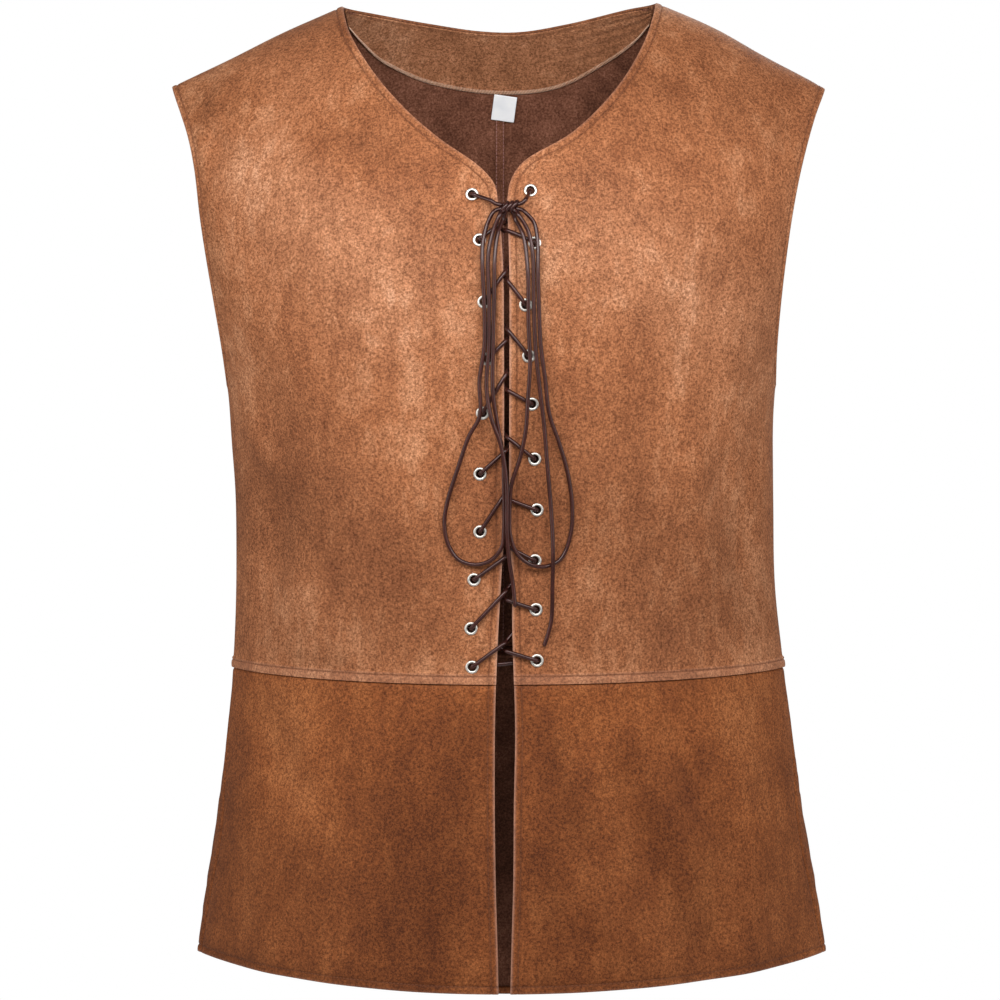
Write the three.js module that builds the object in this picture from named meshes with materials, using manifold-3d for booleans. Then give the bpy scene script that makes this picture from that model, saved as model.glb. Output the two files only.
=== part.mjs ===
// A sleeveless, laced vest of brown suede cloth, filled out as it is worn.
// Units are millimetres. +X is to the right seen from the front, +Y is backwards and +Z is up.
// The origin lies midway between the shoulders, level with the neck ends of the shoulder seams.

import * as THREE from 'three';
import { mergeVertices } from 'three/addons/utils/BufferGeometryUtils.js';
import Module from 'manifold-3d';

const wasm = await Module();
wasm.setup();

// ---------------------------------------------------------------- sizes

const WALL = 1.6; // suede cloth with its turned edges
const SEAM_GAP = 0.3; // between two sewn pieces
const SECTION_POWER = 2.1; // of the share of the half-width, across each section
const WAIST = -467; // height of the seam between bodice and skirt
const WELT_HEIGHT = 6.5; // turned and stitched lower edge of the bodice
const WELT_RISE = 0.8; // how far that edge stands proud
const WELT_STEP = 1.2; // height over which it steps back
const HEM_SIDE = -671; // height of the hem at the side seams
const HEM_DROP = 1.5; // how much lower it hangs at the middle
const HEM_CURVE = 1.5; // power of that drop round the hem
const BACK_DROP = 50; // how much lower the back hangs at its middle than at its sides
const BACK_CURVE = 2; // power of that drop round the hem
const UNDERARM = -266; // height of the lowest point of the armholes
const SHOULDER_TIP = 230; // distance of the shoulder tips from the middle
// Roll of the cloth from the shoulder to its full depth: how far down it reaches, and its shape.
const FRONT_ROLL = { neckReach: 210, tipReach: 125, lean: 1.6, round: 0.58 };
const BACK_ROLL = { neckReach: 130, tipReach: 105, lean: 1.8, round: 0.55 };

// Sections of the body by height: half-widths to each side, depths to the front and back, and
// how the depth falls towards the side seams (0.5: as an ellipse, 1: as a lens).
const SECTIONS = [
  { height: 30, left: 276, right: 274, front: 115, back: 96, fall: 0.46 },
  { height: 0, left: 268, right: 266, front: 118, back: 101, fall: 0.46 },
  { height: -57, left: 246, right: 244, front: 122, back: 110, fall: 0.46 },
  { height: -114, left: 227, right: 225, front: 126, back: 116, fall: 0.47 },
  { height: -150, left: 222, right: 217, front: 127, back: 118, fall: 0.48 },
  { height: -180, left: 215.5, right: 211.5, front: 128, back: 118, fall: 0.5 },
  { height: -210, left: 209, right: 206.5, front: 128, back: 117, fall: 0.53 },
  { height: -242, left: 200.2, right: 199.5, front: 127, back: 115, fall: 0.57 },
  { height: -266, left: 193.7, right: 195.5, front: 126, back: 112, fall: 0.61 },
  { height: -300, left: 191, right: 194, front: 124, back: 109, fall: 0.65 },
  { height: -350, left: 188, right: 194.5, front: 122, back: 106, fall: 0.69 },
  { height: -410, left: 188, right: 196, front: 121, back: 106, fall: 0.72 },
  { height: -467, left: 190.5, right: 202.5, front: 122, back: 109, fall: 0.74 },
  { height: -510, left: 194.3, right: 208, front: 125.5, back: 113.5, fall: 0.74 },
  { height: -560, left: 200.5, right: 214.8, front: 131, back: 120.5, fall: 0.76 },
  { height: -620, left: 209.5, right: 225.2, front: 139, back: 129.5, fall: 0.81 },
  { height: -690, left: 219, right: 236.5, front: 148, back: 139, fall: 0.88 },
  { height: -740, left: 224, right: 243, front: 152, back: 145, fall: 0.88 },
];

// Ridge line over the shoulders; between the neck ends it is the line that the roll starts from.
const SHOULDER = [
  { x: -290, height: -84 },
  { x: -231.5, height: -56 },
  { x: -190, height: -36.4 },
  { x: -148, height: -15.9 },
  { x: -111, height: 0.4 },
  { x: -85, height: 11 },
  { x: -50, height: 19 },
  { x: 0, height: 23 },
  { x: 50, height: 20 },
  { x: 85, height: 13 },
  { x: 110, height: 2.8 },
  { x: 151, height: -14.8 },
  { x: 182, height: -32 },
  { x: 219, height: -51.5 },
  { x: 229.5, height: -57.5 },
  { x: 290, height: -88 },
];

// Armhole edges seen from the front, from the shoulder tip down to the underarm.
const ARMHOLE_LEFT = [
  { height: -56, x: -231.5 },
  { height: -91, x: -218.3 },
  { height: -114, x: -213 },
  { height: -150, x: -208.3 },
  { height: -180, x: -204 },
  { height: -210, x: -199.4 },
  { height: -242, x: -195.3 },
  { height: -266, x: -193.7 },
];
const ARMHOLE_RIGHT = [
  { height: -57.5, x: 229.5 },
  { height: -80, x: 220 },
  { height: -114, x: 210 },
  { height: -145, x: 203.5 },
  { height: -176, x: 199 },
  { height: -210, x: 195.7 },
  { height: -242, x: 194.5 },
  { height: -266, x: 195.5 },
];

// Front neckline, from the top of each front edge up to the neck end of the shoulder seam.
const NECKLINE_LEFT = [
  { x: -1.3, height: -142 },
  { x: -3.4, height: -131 },
  { x: -13.4, height: -119 },
  { x: -45, height: -96 },
  { x: -78, height: -63 },
  { x: -103, height: -24.5 },
  { x: -111, height: 0.4 },
];
const NECKLINE_RIGHT = [
  { x: 4.7, height: -142 },
  { x: 6.8, height: -129 },
  { x: 15, height: -116 },
  { x: 50, height: -94 },
  { x: 80, height: -62.5 },
  { x: 100, height: -28 },
  { x: 110, height: 2.8 },
];

// Rim of the back neck, from one shoulder seam to the other.
const BACK_NECK = [
  { x: -111, height: 0.4 },
  { x: -90, height: -1.2 },
  { x: -52, height: -6 },
  { x: -15, height: -10.5 },
  { x: 15, height: -11 },
  { x: 50, height: -6 },
  { x: 90, height: 1.5 },
  { x: 110, height: 2.8 },
];

// Lower edge of the facing inside the back neck.
const FACING_EDGE = [
  { x: -111, height: -9 },
  { x: -104, height: -18 },
  { x: -90, height: -31 },
  { x: -53, height: -45.5 },
  { x: 0, height: -52 },
  { x: 45, height: -48 },
  { x: 83, height: -31 },
  { x: 102, height: -18 },
  { x: 110, height: -7 },
];
const FACING_THICKNESS = 1;

// Opening down the front: where its middle lies and half its width.
const OPENING = [
  { height: -142, middle: 1.7, half: 3 },
  { height: -172, middle: 3.6, half: 2.2 },
  { height: -208, middle: 4.4, half: 1.9 },
  { height: -369, middle: 4.4, half: 1.9 },
  { height: -386, middle: 4.6, half: 3.2 },
  { height: -431, middle: 3.6, half: 4.7 },
  { height: -467, middle: 3.4, half: 6 },
  { height: -500, middle: 3.4, half: 6.7 },
  { height: -548, middle: 2.9, half: 6.3 },
  { height: -596, middle: 3, half: 5.8 },
  { height: -645, middle: 3, half: 4.4 },
  { height: -690, middle: 2.9, half: 3.4 },
];

// How far the side seams of the skirt swing to the front, in degrees round the section.
const SKIRT_SEAM = [
  { height: -467, swing: 0 },
  { height: -510, swing: 5 },
  { height: -580, swing: 14 },
  { height: -640, swing: 11 },
  { height: -690, swing: 8 },
];

// A fold has this share of its height at its ends, and fades where the body is less deep than this.
const FOLD_END = 0.15;
const FOLD_FADE = 40;

// Largest soft folds: a line on the cloth, half-width and how far it stands out (less than 0: in).
const FOLDS = [
  { side: 'front', x0: 124, z0: -270, x1: 146, z1: -385, width: 11, out: 3.2 },
  { side: 'front', x0: 148, z0: -285, x1: 163, z1: -395, width: 10, out: -3.5 },
  { side: 'front', x0: -158, z0: -250, x1: -164, z1: -420, width: 13, out: -3 },
  { side: 'front', x0: -205, z0: -72, x1: -197, z1: -112, width: 8, out: -2.6 },
  { side: 'front', x0: 203, z0: -70, x1: 196, z1: -108, width: 8, out: -2.4 },
  { side: 'front', x0: -120, z0: -500, x1: -52, z1: -640, width: 17, out: -3 },
  { side: 'front', x0: 62, z0: -505, x1: 128, z1: -650, width: 16, out: -3.2 },
  { side: 'front', x0: -175, z0: -520, x1: -160, z1: -690, width: 16, out: 3 },
  { side: 'front', x0: 178, z0: -525, x1: 172, z1: -690, width: 16, out: 3.2 },
  { side: 'back', x0: -150, z0: -220, x1: -128, z1: -400, width: 15, out: 3.4 },
  { side: 'back', x0: -122, z0: -235, x1: -104, z1: -410, width: 12, out: -3 },
  { side: 'back', x0: 142, z0: -235, x1: 118, z1: -395, width: 14, out: 3 },
  { side: 'back', x0: 112, z0: -250, x1: 95, z1: -420, width: 12, out: -2.8 },
  { side: 'back', x0: -110, z0: -500, x1: -140, z1: -690, width: 18, out: 4 },
  { side: 'back', x0: -60, z0: -510, x1: -72, z1: -690, width: 17, out: -4 },
  { side: 'back', x0: 18, z0: -515, x1: 22, z1: -690, width: 18, out: 3.6 },
  { side: 'back', x0: 70, z0: -505, x1: 92, z1: -690, width: 16, out: -4 },
  { side: 'back', x0: 128, z0: -500, x1: 152, z1: -690, width: 17, out: 3.8 },
];

// Eyelets, from the neck down: the middle of each pair's holes.
const EYELETS = [
  { leftX: -18.7, leftHeight: -137.7, rightX: 20.4, rightHeight: -135 },
  { leftX: -13.7, leftHeight: -168.3, rightX: 23.1, rightHeight: -170.3 },
  { leftX: -10.7, leftHeight: -209.6, rightX: 17.1, rightHeight: -211.6 },
  { leftX: -8.4, leftHeight: -247.7, rightX: 19.1, rightHeight: -245.7 },
  { leftX: -11.7, leftHeight: -283.9, rightX: 21.4, rightHeight: -277.8 },
  { leftX: -13.4, leftHeight: -324.7, rightX: 23.2, rightHeight: -314.7 },
  { leftX: -13.4, leftHeight: -363.7, rightX: 24.8, rightHeight: -348.9 },
  { leftX: -17.5, leftHeight: -396, rightX: 23.5, rightHeight: -383.2 },
  { leftX: -19.5, leftHeight: -429, rightX: 24.2, rightHeight: -416.2 },
  { leftX: -18.8, leftHeight: -455, rightX: 24.9, rightHeight: -450.6 },
];
const EYELET_HOLE = 2.7; // radius of the hole that the lace passes
const EYELET_RIM = 4.45; // outer radius of the ring on the outside
const EYELET_BARREL = 3.2; // outer radius of the barrel in the cloth
const EYELET_CURL = 4; // outer radius of the curled back
const EYELET_HEIGHT = 0.8; // thickness of the ring
const EYELET_SLACK = 0.6; // play between the curled back and the cloth
const EYELET_ROUND = 0.7; // share of that thickness left at the ring's outer edge
const EYELET_SIDES = 10;
const CLOTH_HOLE = 3.55; // radius of the hole cut in the cloth

const LACE = 2.8; // diameter of the round lace
const LACE_SIDES = 8;
const LACE_RUN = 2.9; // height of the run's middle over the cloth
const LACE_BEHIND = 3.4; // depth of the run's middle behind the cloth
const LACE_CROSSING = { x: 3.4, height: -453 }; // where it crosses behind the lowest eyelets

// The run through an eyelet: out from the cloth, and on towards where it comes from or goes.
const THROUGH_EYELET = [
  { out: -WALL - LACE_BEHIND, towards: 'from', along: 2 },
  { out: -WALL - 1.5, towards: 'from', along: 0.2 },
  { out: 0.4, towards: 'to', along: 0.1 },
  { out: LACE_RUN - 0.3, towards: 'to', along: 1 },
  { out: LACE_RUN + 0.2, towards: 'to', along: 3.8 },
];

// Where a strand turns in between the fronts: how far it stays to one side, and how deep it goes.
const TURN_ASIDE = 0.8;
const TURN_DEPTH = 2.6;

// Heights at which the strand from each eyelet turns in through the front opening.
const TURNS_IN = [
  { left: 0, right: 0 },
  { left: -156.4, right: -161.6 },
  { left: -188.5, right: -194.5 },
  { left: -234.7, right: -227.3 },
  { left: -256.8, right: -268.1 },
  { left: -308.3, right: -299.6 },
  { left: -336.2, right: -341.2 },
  { left: -379.8, right: -373.1 },
  { left: -403.2, right: -409.3 },
  { left: -438.2, right: -443.8 },
];

const KNOT = { x: 6, height: -148, lift: 7.4, wide: 20, tall: 11, deep: 9, sides: 12, rings: 7 };

// Where each strand meets the knot: degrees round it from the right, and out from its middle.
const KNOT_EXITS = {
  lacingLeft: { round: 158, out: 0 },
  lacingRight: { round: 28, out: 0 },
  loopLeftOut: { round: 205, out: 12 },
  endLeft: { round: 230, out: 34 },
  loopLeftBack: { round: 250, out: -14 },
  loopRightBack: { round: 290, out: -14 },
  endRight: { round: 310, out: 34 },
  loopRightOut: { round: 335, out: 12 },
};

// Bow loops and free ends: points on the front, and how far each stands off the cloth.
const LOOP_LEFT = [
  { x: -9, height: -161, lift: 7 },
  { x: -11.2, height: -171, lift: 7 },
  { x: -11.6, height: -184, lift: 7 },
  { x: -10.4, height: -210, lift: 7 },
  { x: -10.2, height: -238, lift: 7 },
  { x: -13.4, height: -262, lift: 7 },
  { x: -13.2, height: -285, lift: 7 },
  { x: -20.5, height: -299.5, lift: 6.4 },
  { x: -27.5, height: -320, lift: 5 },
  { x: -34.9, height: -343.7, lift: 3.6 },
  { x: -36.9, height: -357.5, lift: 3 },
  { x: -34.6, height: -371.5, lift: 2.8 },
  { x: -27.6, height: -382, lift: 3 },
  { x: -16.5, height: -385.4, lift: 4 },
  { x: -6.2, height: -382.4, lift: 6 },
  { x: 0.9, height: -374, lift: 7 },
  { x: 2.6, height: -362, lift: 7 },
  { x: 2.6, height: -338, lift: 7 },
  { x: 2, height: -312.9, lift: 7 },
  { x: -1.6, height: -291, lift: 7 },
  { x: -4.6, height: -270, lift: 7 },
  { x: -4.6, height: -240, lift: 7 },
  { x: -3.8, height: -205, lift: 7 },
  { x: -3.4, height: -180, lift: 7 },
  { x: -1.4, height: -165, lift: 6.2 },
];
const LOOP_RIGHT = [
  { x: 22.4, height: -158.5, lift: 7 },
  { x: 24.6, height: -170, lift: 7 },
  { x: 24.8, height: -190, lift: 7 },
  { x: 25.4, height: -212, lift: 7 },
  { x: 26.6, height: -238, lift: 7 },
  { x: 29.6, height: -262, lift: 7 },
  { x: 32.2, height: -284, lift: 6.6 },
  { x: 39, height: -304, lift: 5 },
  { x: 45, height: -325, lift: 3.6 },
  { x: 48, height: -348, lift: 3 },
  { x: 46.8, height: -366, lift: 2.8 },
  { x: 41, height: -381, lift: 3 },
  { x: 31.4, height: -386.5, lift: 4.6 },
  { x: 20.6, height: -385.4, lift: 7 },
  { x: 11.4, height: -378, lift: 7 },
  { x: 6.8, height: -366, lift: 7 },
  { x: 6.2, height: -350, lift: 7 },
  { x: 7.4, height: -332, lift: 7 },
  { x: 12.9, height: -314, lift: 7 },
  { x: 16.6, height: -296, lift: 7 },
  { x: 18.2, height: -274, lift: 7 },
  { x: 19.6, height: -250, lift: 7 },
  { x: 18.6, height: -225, lift: 7 },
  { x: 18.2, height: -190, lift: 7 },
  { x: 15.2, height: -166, lift: 6.2 },
];
const END_LEFT = [
  { x: -4.4, height: -164, lift: 8.2 },
  { x: -7.6, height: -178, lift: 7 },
  { x: -7.2, height: -210, lift: 7 },
  { x: -7.4, height: -240, lift: 7 },
  { x: -8.8, height: -266, lift: 7.4 },
  { x: -6, height: -285, lift: 9.4 },
  { x: 0.6, height: -305, lift: 10.4 },
  { x: 4.2, height: -330, lift: 10.4 },
  { x: 4.6, height: -362, lift: 10.4 },
  { x: 6, height: -382, lift: 9 },
  { x: 8.4, height: -398, lift: 7 },
  { x: 10, height: -414, lift: 7 },
];
const END_RIGHT = [
  { x: 18.4, height: -164, lift: 8.2 },
  { x: 21.4, height: -178, lift: 7 },
  { x: 22, height: -210, lift: 7 },
  { x: 23.2, height: -240, lift: 7 },
  { x: 25.6, height: -264, lift: 7 },
  { x: 28.6, height: -290, lift: 7 },
  { x: 31, height: -320, lift: 7 },
  { x: 33.6, height: -352, lift: 7 },
  { x: 34.4, height: -378, lift: 8.4 },
  { x: 34.4, height: -400, lift: 6 },
  { x: 34, height: -424, lift: 3 },
  { x: 29.4, height: -441, lift: 2.4 },
];

const LABEL = { width: 17, length: 18, top: -53, x: 3, tilt: 0.14, thickness: 1 };

// ---------------------------------------------------------------- finishes

const suede = new THREE.MeshStandardMaterial({ color: 0x8f5a36, roughness: 0.95, metalness: 0 });
const white = new THREE.MeshStandardMaterial({ color: 0xe8e6e2, roughness: 0.8, metalness: 0 });
const nickel = new THREE.MeshStandardMaterial({ color: 0xc9c5bc, roughness: 0.3, metalness: 1 });
const cord = new THREE.MeshStandardMaterial({ color: 0x2b1d18, roughness: 0.8, metalness: 0 });

// ---------------------------------------------------------------- reading the tables

const MERGE = 1e-4; // corners this close are one

// Smooth value of one column of a table, between its rows.
function readTable(rows, key, column, at) {
  const rising = rows[rows.length - 1][key] > rows[0][key];
  const before = (a, b) => (rising ? a <= b : a >= b);
  let i = 0;
  while (i < rows.length - 2 && before(rows[i + 1][key], at)) i += 1;
  const slope = (a, b) => (rows[b][column] - rows[a][column]) / (rows[b][key] - rows[a][key]);
  const start = slope(Math.max(i - 1, 0), i + 1);
  const end = slope(i, Math.min(i + 2, rows.length - 1));
  const span = rows[i + 1][key] - rows[i][key];
  const t = Math.min(1, Math.max(0, (at - rows[i][key]) / span));
  const t2 = t * t;
  const t3 = t2 * t;
  return rows[i][column] * (2 * t3 - 3 * t2 + 1) + start * span * (t3 - 2 * t2 + t)
    + rows[i + 1][column] * (3 * t2 - 2 * t3) + end * span * (t3 - t2);
}

// Points of a curve through a table's rows, as {x, height}, at the given shares of its length.
function alongCurve(rows, shares) {
  const points = rows.map((row) => new THREE.Vector3(row.x, row.height, 0));
  const curve = new THREE.CatmullRomCurve3(points, false, 'centripetal');
  return shares.map((share) => {
    const point = curve.getPointAt(share);
    return { x: point.x, height: point.y };
  });
}

// ---------------------------------------------------------------- the body's surface

const shoulderHeight = (x) => readTable(SHOULDER, 'x', 'height', x);
const halfWidth = (x, height) => readTable(SECTIONS, 'height', x < 0 ? 'left' : 'right', height);

// Share of the full depth, from nothing at the shoulder line to all of it at the roll's reach.
function rollShare(roll, x, below) {
  const towardsTip = Math.min(1, (x / SHOULDER_TIP) ** 2);
  const reach = THREE.MathUtils.lerp(roll.neckReach, roll.tipReach, towardsTip);
  const t = Math.min(1, Math.max(0, below / reach));
  return (1 - (1 - t) ** roll.lean) ** roll.round;
}

// Height of the soft folds at a place on the front or back.
function foldOut(side, x, height) {
  let sum = 0;
  for (const fold of FOLDS) {
    if (fold.side !== side) continue;
    const dx = fold.x1 - fold.x0;
    const dz = fold.z1 - fold.z0;
    const t = ((x - fold.x0) * dx + (height - fold.z0) * dz) / (dx * dx + dz * dz);
    const near = Math.min(1, Math.max(0, t));
    const off = Math.hypot(x - fold.x0 - near * dx, height - fold.z0 - near * dz) / fold.width;
    const along = FOLD_END + (1 - 2 * FOLD_END) * near;
    sum += fold.out * Math.exp(-off * off) * Math.sin(Math.PI * along);
  }
  return sum;
}

// Outer surface of the front or back cloth at a place seen from the front.
function skin(side, x, height) {
  const share = Math.min(1, Math.abs(x) / halfWidth(x, height));
  const fall = readTable(SECTIONS, 'height', 'fall', height);
  const across = (1 - share ** SECTION_POWER) ** fall;
  const below = shoulderHeight(x) - height;
  const roll = rollShare(side === 'front' ? FRONT_ROLL : BACK_ROLL, x, below);
  const full = readTable(SECTIONS, 'height', side, height) * across * roll;
  const folds = foldOut(side, x, height) * Math.min(1, full / FOLD_FADE);
  const depth = SEAM_GAP / 2 + full + folds;
  return new THREE.Vector3(x, side === 'front' ? -depth : depth, height);
}

// Outward direction of that surface, from two short steps on it.
function skinNormal(side, x, height) {
  const step = 2;
  const alongX = skin(side, x + step, height).sub(skin(side, x - step, height));
  const alongZ = skin(side, x, height + step).sub(skin(side, x, height - step));
  const normal = side === 'front' ? alongX.cross(alongZ) : alongZ.cross(alongX);
  return normal.normalize();
}

// A place on the front or back, moved out from the cloth by a distance.
function offSkin(side, x, height, out) {
  return skin(side, x, height).addScaledVector(skinNormal(side, x, height), out);
}

// Angle round the section of a place, from 0 at the middle to 90 degrees at the side, with its sign.
function roundAngle(x, height) {
  const share = Math.min(1, Math.abs(x) / halfWidth(x, height));
  return Math.sign(x) * Math.asin(share ** (SECTION_POWER / 2));
}

function placeAtAngle(angle, height) {
  return Math.sign(angle) * halfWidth(angle, height)
    * Math.sin(Math.abs(angle)) ** (2 / SECTION_POWER);
}

// ---------------------------------------------------------------- closed shells of cloth

// Normals of a grid of points, from their neighbours; turned is true where the grid runs mirrored.
function gridNormals(grid, turned) {
  return grid.map((row, i) => row.map((_, j) => {
    const up = grid[Math.min(i + 1, grid.length - 1)][j].clone().sub(grid[Math.max(i - 1, 0)][j]);
    const on = row[Math.min(j + 1, row.length - 1)].clone().sub(row[Math.max(j - 1, 0)]);
    return (turned ? up.cross(on) : on.cross(up)).normalize();
  }));
}

// At a seam the wall stands square to it, so both pieces meet face to face.
function squareAt(normals, seams) {
  const last = normals.length - 1;
  const end = normals[0].length - 1;
  normals.forEach((row, i) => row.forEach((normal, j) => {
    if (i === 0 && seams.bottom) normal[seams.bottom] = 0;
    if (i === last && seams.top) normal[seams.top] = 0;
    if (j === 0 && seams.inner) normal[seams.inner] = 0;
    if (j === end && seams.outer && seams.outer(i)) normal.y = 0;
    normal.normalize();
  }));
  return normals;
}

// A closed wall between a grid of outer points and the same grid moved in by the thickness.
function clothWall(outer, normals, thickness, turned) {
  const rows = outer.length;
  const columns = outer[0].length;
  const inner = outer.map((row, i) => row.map(
    (point, j) => point.clone().addScaledVector(normals[i][j], -thickness),
  ));
  const positions = [];
  // Each four-cornered patch is split along its shorter diagonal.
  const quad = (a, b, c, d) => {
    const split = a.distanceTo(c) < b.distanceTo(d) ? [a, b, c, a, c, d] : [b, c, d, b, d, a];
    if (turned) split.reverse();
    for (const corner of split) positions.push(corner.x, corner.y, corner.z);
  };
  for (let i = 0; i < rows - 1; i += 1) {
    for (let j = 0; j < columns - 1; j += 1) {
      quad(outer[i][j], outer[i][j + 1], outer[i + 1][j + 1], outer[i + 1][j]);
      quad(inner[i][j], inner[i + 1][j], inner[i + 1][j + 1], inner[i][j + 1]);
    }
    const right = columns - 1;
    quad(outer[i][0], outer[i + 1][0], inner[i + 1][0], inner[i][0]);
    quad(outer[i][right], inner[i][right], inner[i + 1][right], outer[i + 1][right]);
  }
  for (let j = 0; j < columns - 1; j += 1) {
    const top = rows - 1;
    quad(outer[0][j], inner[0][j], inner[0][j + 1], outer[0][j + 1]);
    quad(outer[top][j], outer[top][j + 1], inner[top][j + 1], inner[top][j]);
  }
  const geometry = new THREE.BufferGeometry();
  geometry.setAttribute('position', new THREE.Float32BufferAttribute(positions, 3));
  return geometry;
}

// ---------------------------------------------------------------- cutting

function toSolid(geometry) {
  const bare = geometry.clone();
  bare.deleteAttribute('normal');
  bare.deleteAttribute('uv');
  const merged = mergeVertices(bare, MERGE);
  return new wasm.Manifold(new wasm.Mesh({
    numProp: 3,
    vertProperties: merged.attributes.position.array,
    triVerts: Uint32Array.from(merged.index.array),
  }));
}

function toGeometry(solid) {
  const mesh = solid.getMesh();
  const geometry = new THREE.BufferGeometry();
  geometry.setAttribute('position', new THREE.BufferAttribute(mesh.vertProperties, 3));
  geometry.setIndex(new THREE.BufferAttribute(mesh.triVerts, 1));
  return geometry;
}

const spread = (count, from, to) => Array.from(
  { length: count + 1 },
  (_, i) => from + ((to - from) * i) / count,
);

const vest = new THREE.Group();

function addPiece(name, geometry, material) {
  const indexed = geometry.index ? geometry : mergeVertices(geometry, MERGE);
  const flat = indexed.toNonIndexed();
  flat.computeVertexNormals();
  const mesh = new THREE.Mesh(flat, material);
  mesh.name = name;
  vest.add(mesh);
  return mesh;
}

// ---------------------------------------------------------------- front bodice

const SIDE_ROWS = 8; // rows of the bodice between the waist and the underarm
const CHEST_ROWS = 5; // rows from there to the foot of the neckline
const NECK_ROWS = 8; // rows along the neckline
const FRONT_COLUMNS = 12;
const ROW_CROWDING = 1.25; // power that brings the rows closer together towards the neck
const ROW_TILT = 0.8; // power with which the rows turn from level to the slope of the shoulder

// Heights of the lowest rows: the turned edge, its step and the plain cloth over it.
function weltRows() {
  return [WAIST + SEAM_GAP / 2, WAIST + WELT_HEIGHT, WAIST + WELT_HEIGHT + WELT_STEP];
}

function openingEdge(side, height) {
  const middle = readTable(OPENING, 'height', 'middle', height);
  const half = readTable(OPENING, 'height', 'half', height);
  return side === 'left' ? middle - half : middle + half;
}

// Inner edge: the front opening, then the neckline.
function frontInnerEdge(side) {
  const neckline = side === 'left' ? NECKLINE_LEFT : NECKLINE_RIGHT;
  const foot = neckline[0].height;
  const welt = weltRows();
  const heights = [
    ...welt.slice(0, 2),
    ...spread(SIDE_ROWS, welt[2], UNDERARM),
    ...spread(CHEST_ROWS, UNDERARM, foot).slice(1),
  ];
  const straight = heights.map((height) => ({ x: openingEdge(side, height), height }));
  straight[straight.length - 1].x = neckline[0].x;
  const shares = spread(NECK_ROWS, 0, 1).slice(1).map((t) => 1 - (1 - t) ** ROW_CROWDING);
  return [...straight, ...alongCurve(neckline, shares)];
}

// Outer edge: the side seam, then the armhole.
function frontOuterEdge(side) {
  const armhole = side === 'left' ? ARMHOLE_LEFT : ARMHOLE_RIGHT;
  const sign = side === 'left' ? -1 : 1;
  const welt = weltRows();
  const heights = [...welt.slice(0, 2), ...spread(SIDE_ROWS, welt[2], UNDERARM)];
  const seam = heights.map((height) => ({ x: sign * halfWidth(sign, height), height }));
  const rows = CHEST_ROWS + NECK_ROWS;
  const shares = spread(rows, 0, 1).slice(1).map((t) => 0.5 - 0.5 * Math.cos(Math.PI * t));
  return [...seam, ...alongCurve([...armhole].reverse(), shares)];
}

function frontBodiceGrid(side) {
  const inner = frontInnerEdge(side);
  const outer = frontOuterEdge(side);
  const levelRows = SIDE_ROWS + 2;
  const last = inner.length - 1;
  return inner.map((start, i) => {
    const end = outer[i];
    const from = roundAngle(start.x, start.height);
    const to = i <= levelRows ? Math.sign(end.x) * Math.PI / 2 : roundAngle(end.x, end.height);
    const tilt = Math.max(0, (i - levelRows) / (last - levelRows)) ** ROW_TILT;
    const startBelow = shoulderHeight(start.x) - start.height;
    const endBelow = shoulderHeight(end.x) - end.height;
    return spread(FRONT_COLUMNS, 0, 1).map((u) => {
      const guess = THREE.MathUtils.lerp(start.height, end.height, u);
      let x = placeAtAngle(THREE.MathUtils.lerp(from, to, u), guess);
      if (u === 0) x = start.x;
      if (u === 1) x = end.x;
      const share = (x - start.x) / (end.x - start.x);
      const level = THREE.MathUtils.lerp(start.height, end.height, share);
      const sloped = shoulderHeight(x) - THREE.MathUtils.lerp(startBelow, endBelow, share);
      const height = THREE.MathUtils.lerp(level, sloped, tilt);
      const point = skin('front', x, height);
      if (i === last) point.y = -SEAM_GAP / 2;
      return point;
    });
  });
}

// The turned lower edge stands proud of the rest.
function raiseWelt(grid, normals) {
  for (let i = 0; i < 2; i += 1) {
    grid[i].forEach((point, j) => point.addScaledVector(normals[i][j], WELT_RISE));
  }
}

// Seats of the eyelets on the flat facets of the cloth, filled in as each front is made.
const eyeletSeats = { left: [], right: [] };

function findEyeletSeats(side, wall) {
  const cloth = new THREE.Mesh(wall);
  const wellInFront = -300;
  for (const row of EYELETS) {
    const x = side === 'left' ? row.leftX : row.rightX;
    const height = side === 'left' ? row.leftHeight : row.rightHeight;
    const before = new THREE.Vector3(x, wellInFront, height);
    const ray = new THREE.Raycaster(before, new THREE.Vector3(0, 1, 0));
    const at = ray.intersectObject(cloth)[0].point;
    eyeletSeats[side].push({ at, out: skinNormal('front', x, height) });
  }
}

function eyeletCutter(place) {
  const length = 4 * WALL;
  const drill = new THREE.CylinderGeometry(CLOTH_HOLE, CLOTH_HOLE, length, EYELET_SIDES);
  const turn = new THREE.Quaternion().setFromUnitVectors(new THREE.Vector3(0, 1, 0), place.out);
  drill.applyQuaternion(turn);
  drill.translate(place.at.x, place.at.y, place.at.z);
  return toSolid(drill);
}

function addFrontBodice(side) {
  const grid = frontBodiceGrid(side);
  const turned = side === 'left';
  const levelRows = SIDE_ROWS + 2;
  const seams = { bottom: 'z', top: 'y', outer: (i) => i <= levelRows };
  const normals = squareAt(gridNormals(grid, turned), seams);
  raiseWelt(grid, normals);
  const wall = clothWall(grid, normals, WALL, turned);
  findEyeletSeats(side, wall);
  let solid = toSolid(wall);
  for (const seat of eyeletSeats[side]) solid = solid.subtract(eyeletCutter(seat));
  addPiece(`front_bodice_${side}`, toGeometry(solid), suede);
}

addFrontBodice('left');
addFrontBodice('right');

// ---------------------------------------------------------------- back bodice

const BACK_ROWS = 10; // rows over the underarm
const BACK_NECK_COLUMNS = 6; // columns under the neck rim, closer near the shoulder seam
const BACK_SHOULDER_COLUMNS = 5; // columns under the shoulder seam

function backTop(x) {
  const inNeck = x > BACK_NECK[0].x && x < BACK_NECK[BACK_NECK.length - 1].x;
  return inNeck ? readTable(BACK_NECK, 'x', 'height', x) : shoulderHeight(x);
}

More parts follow.
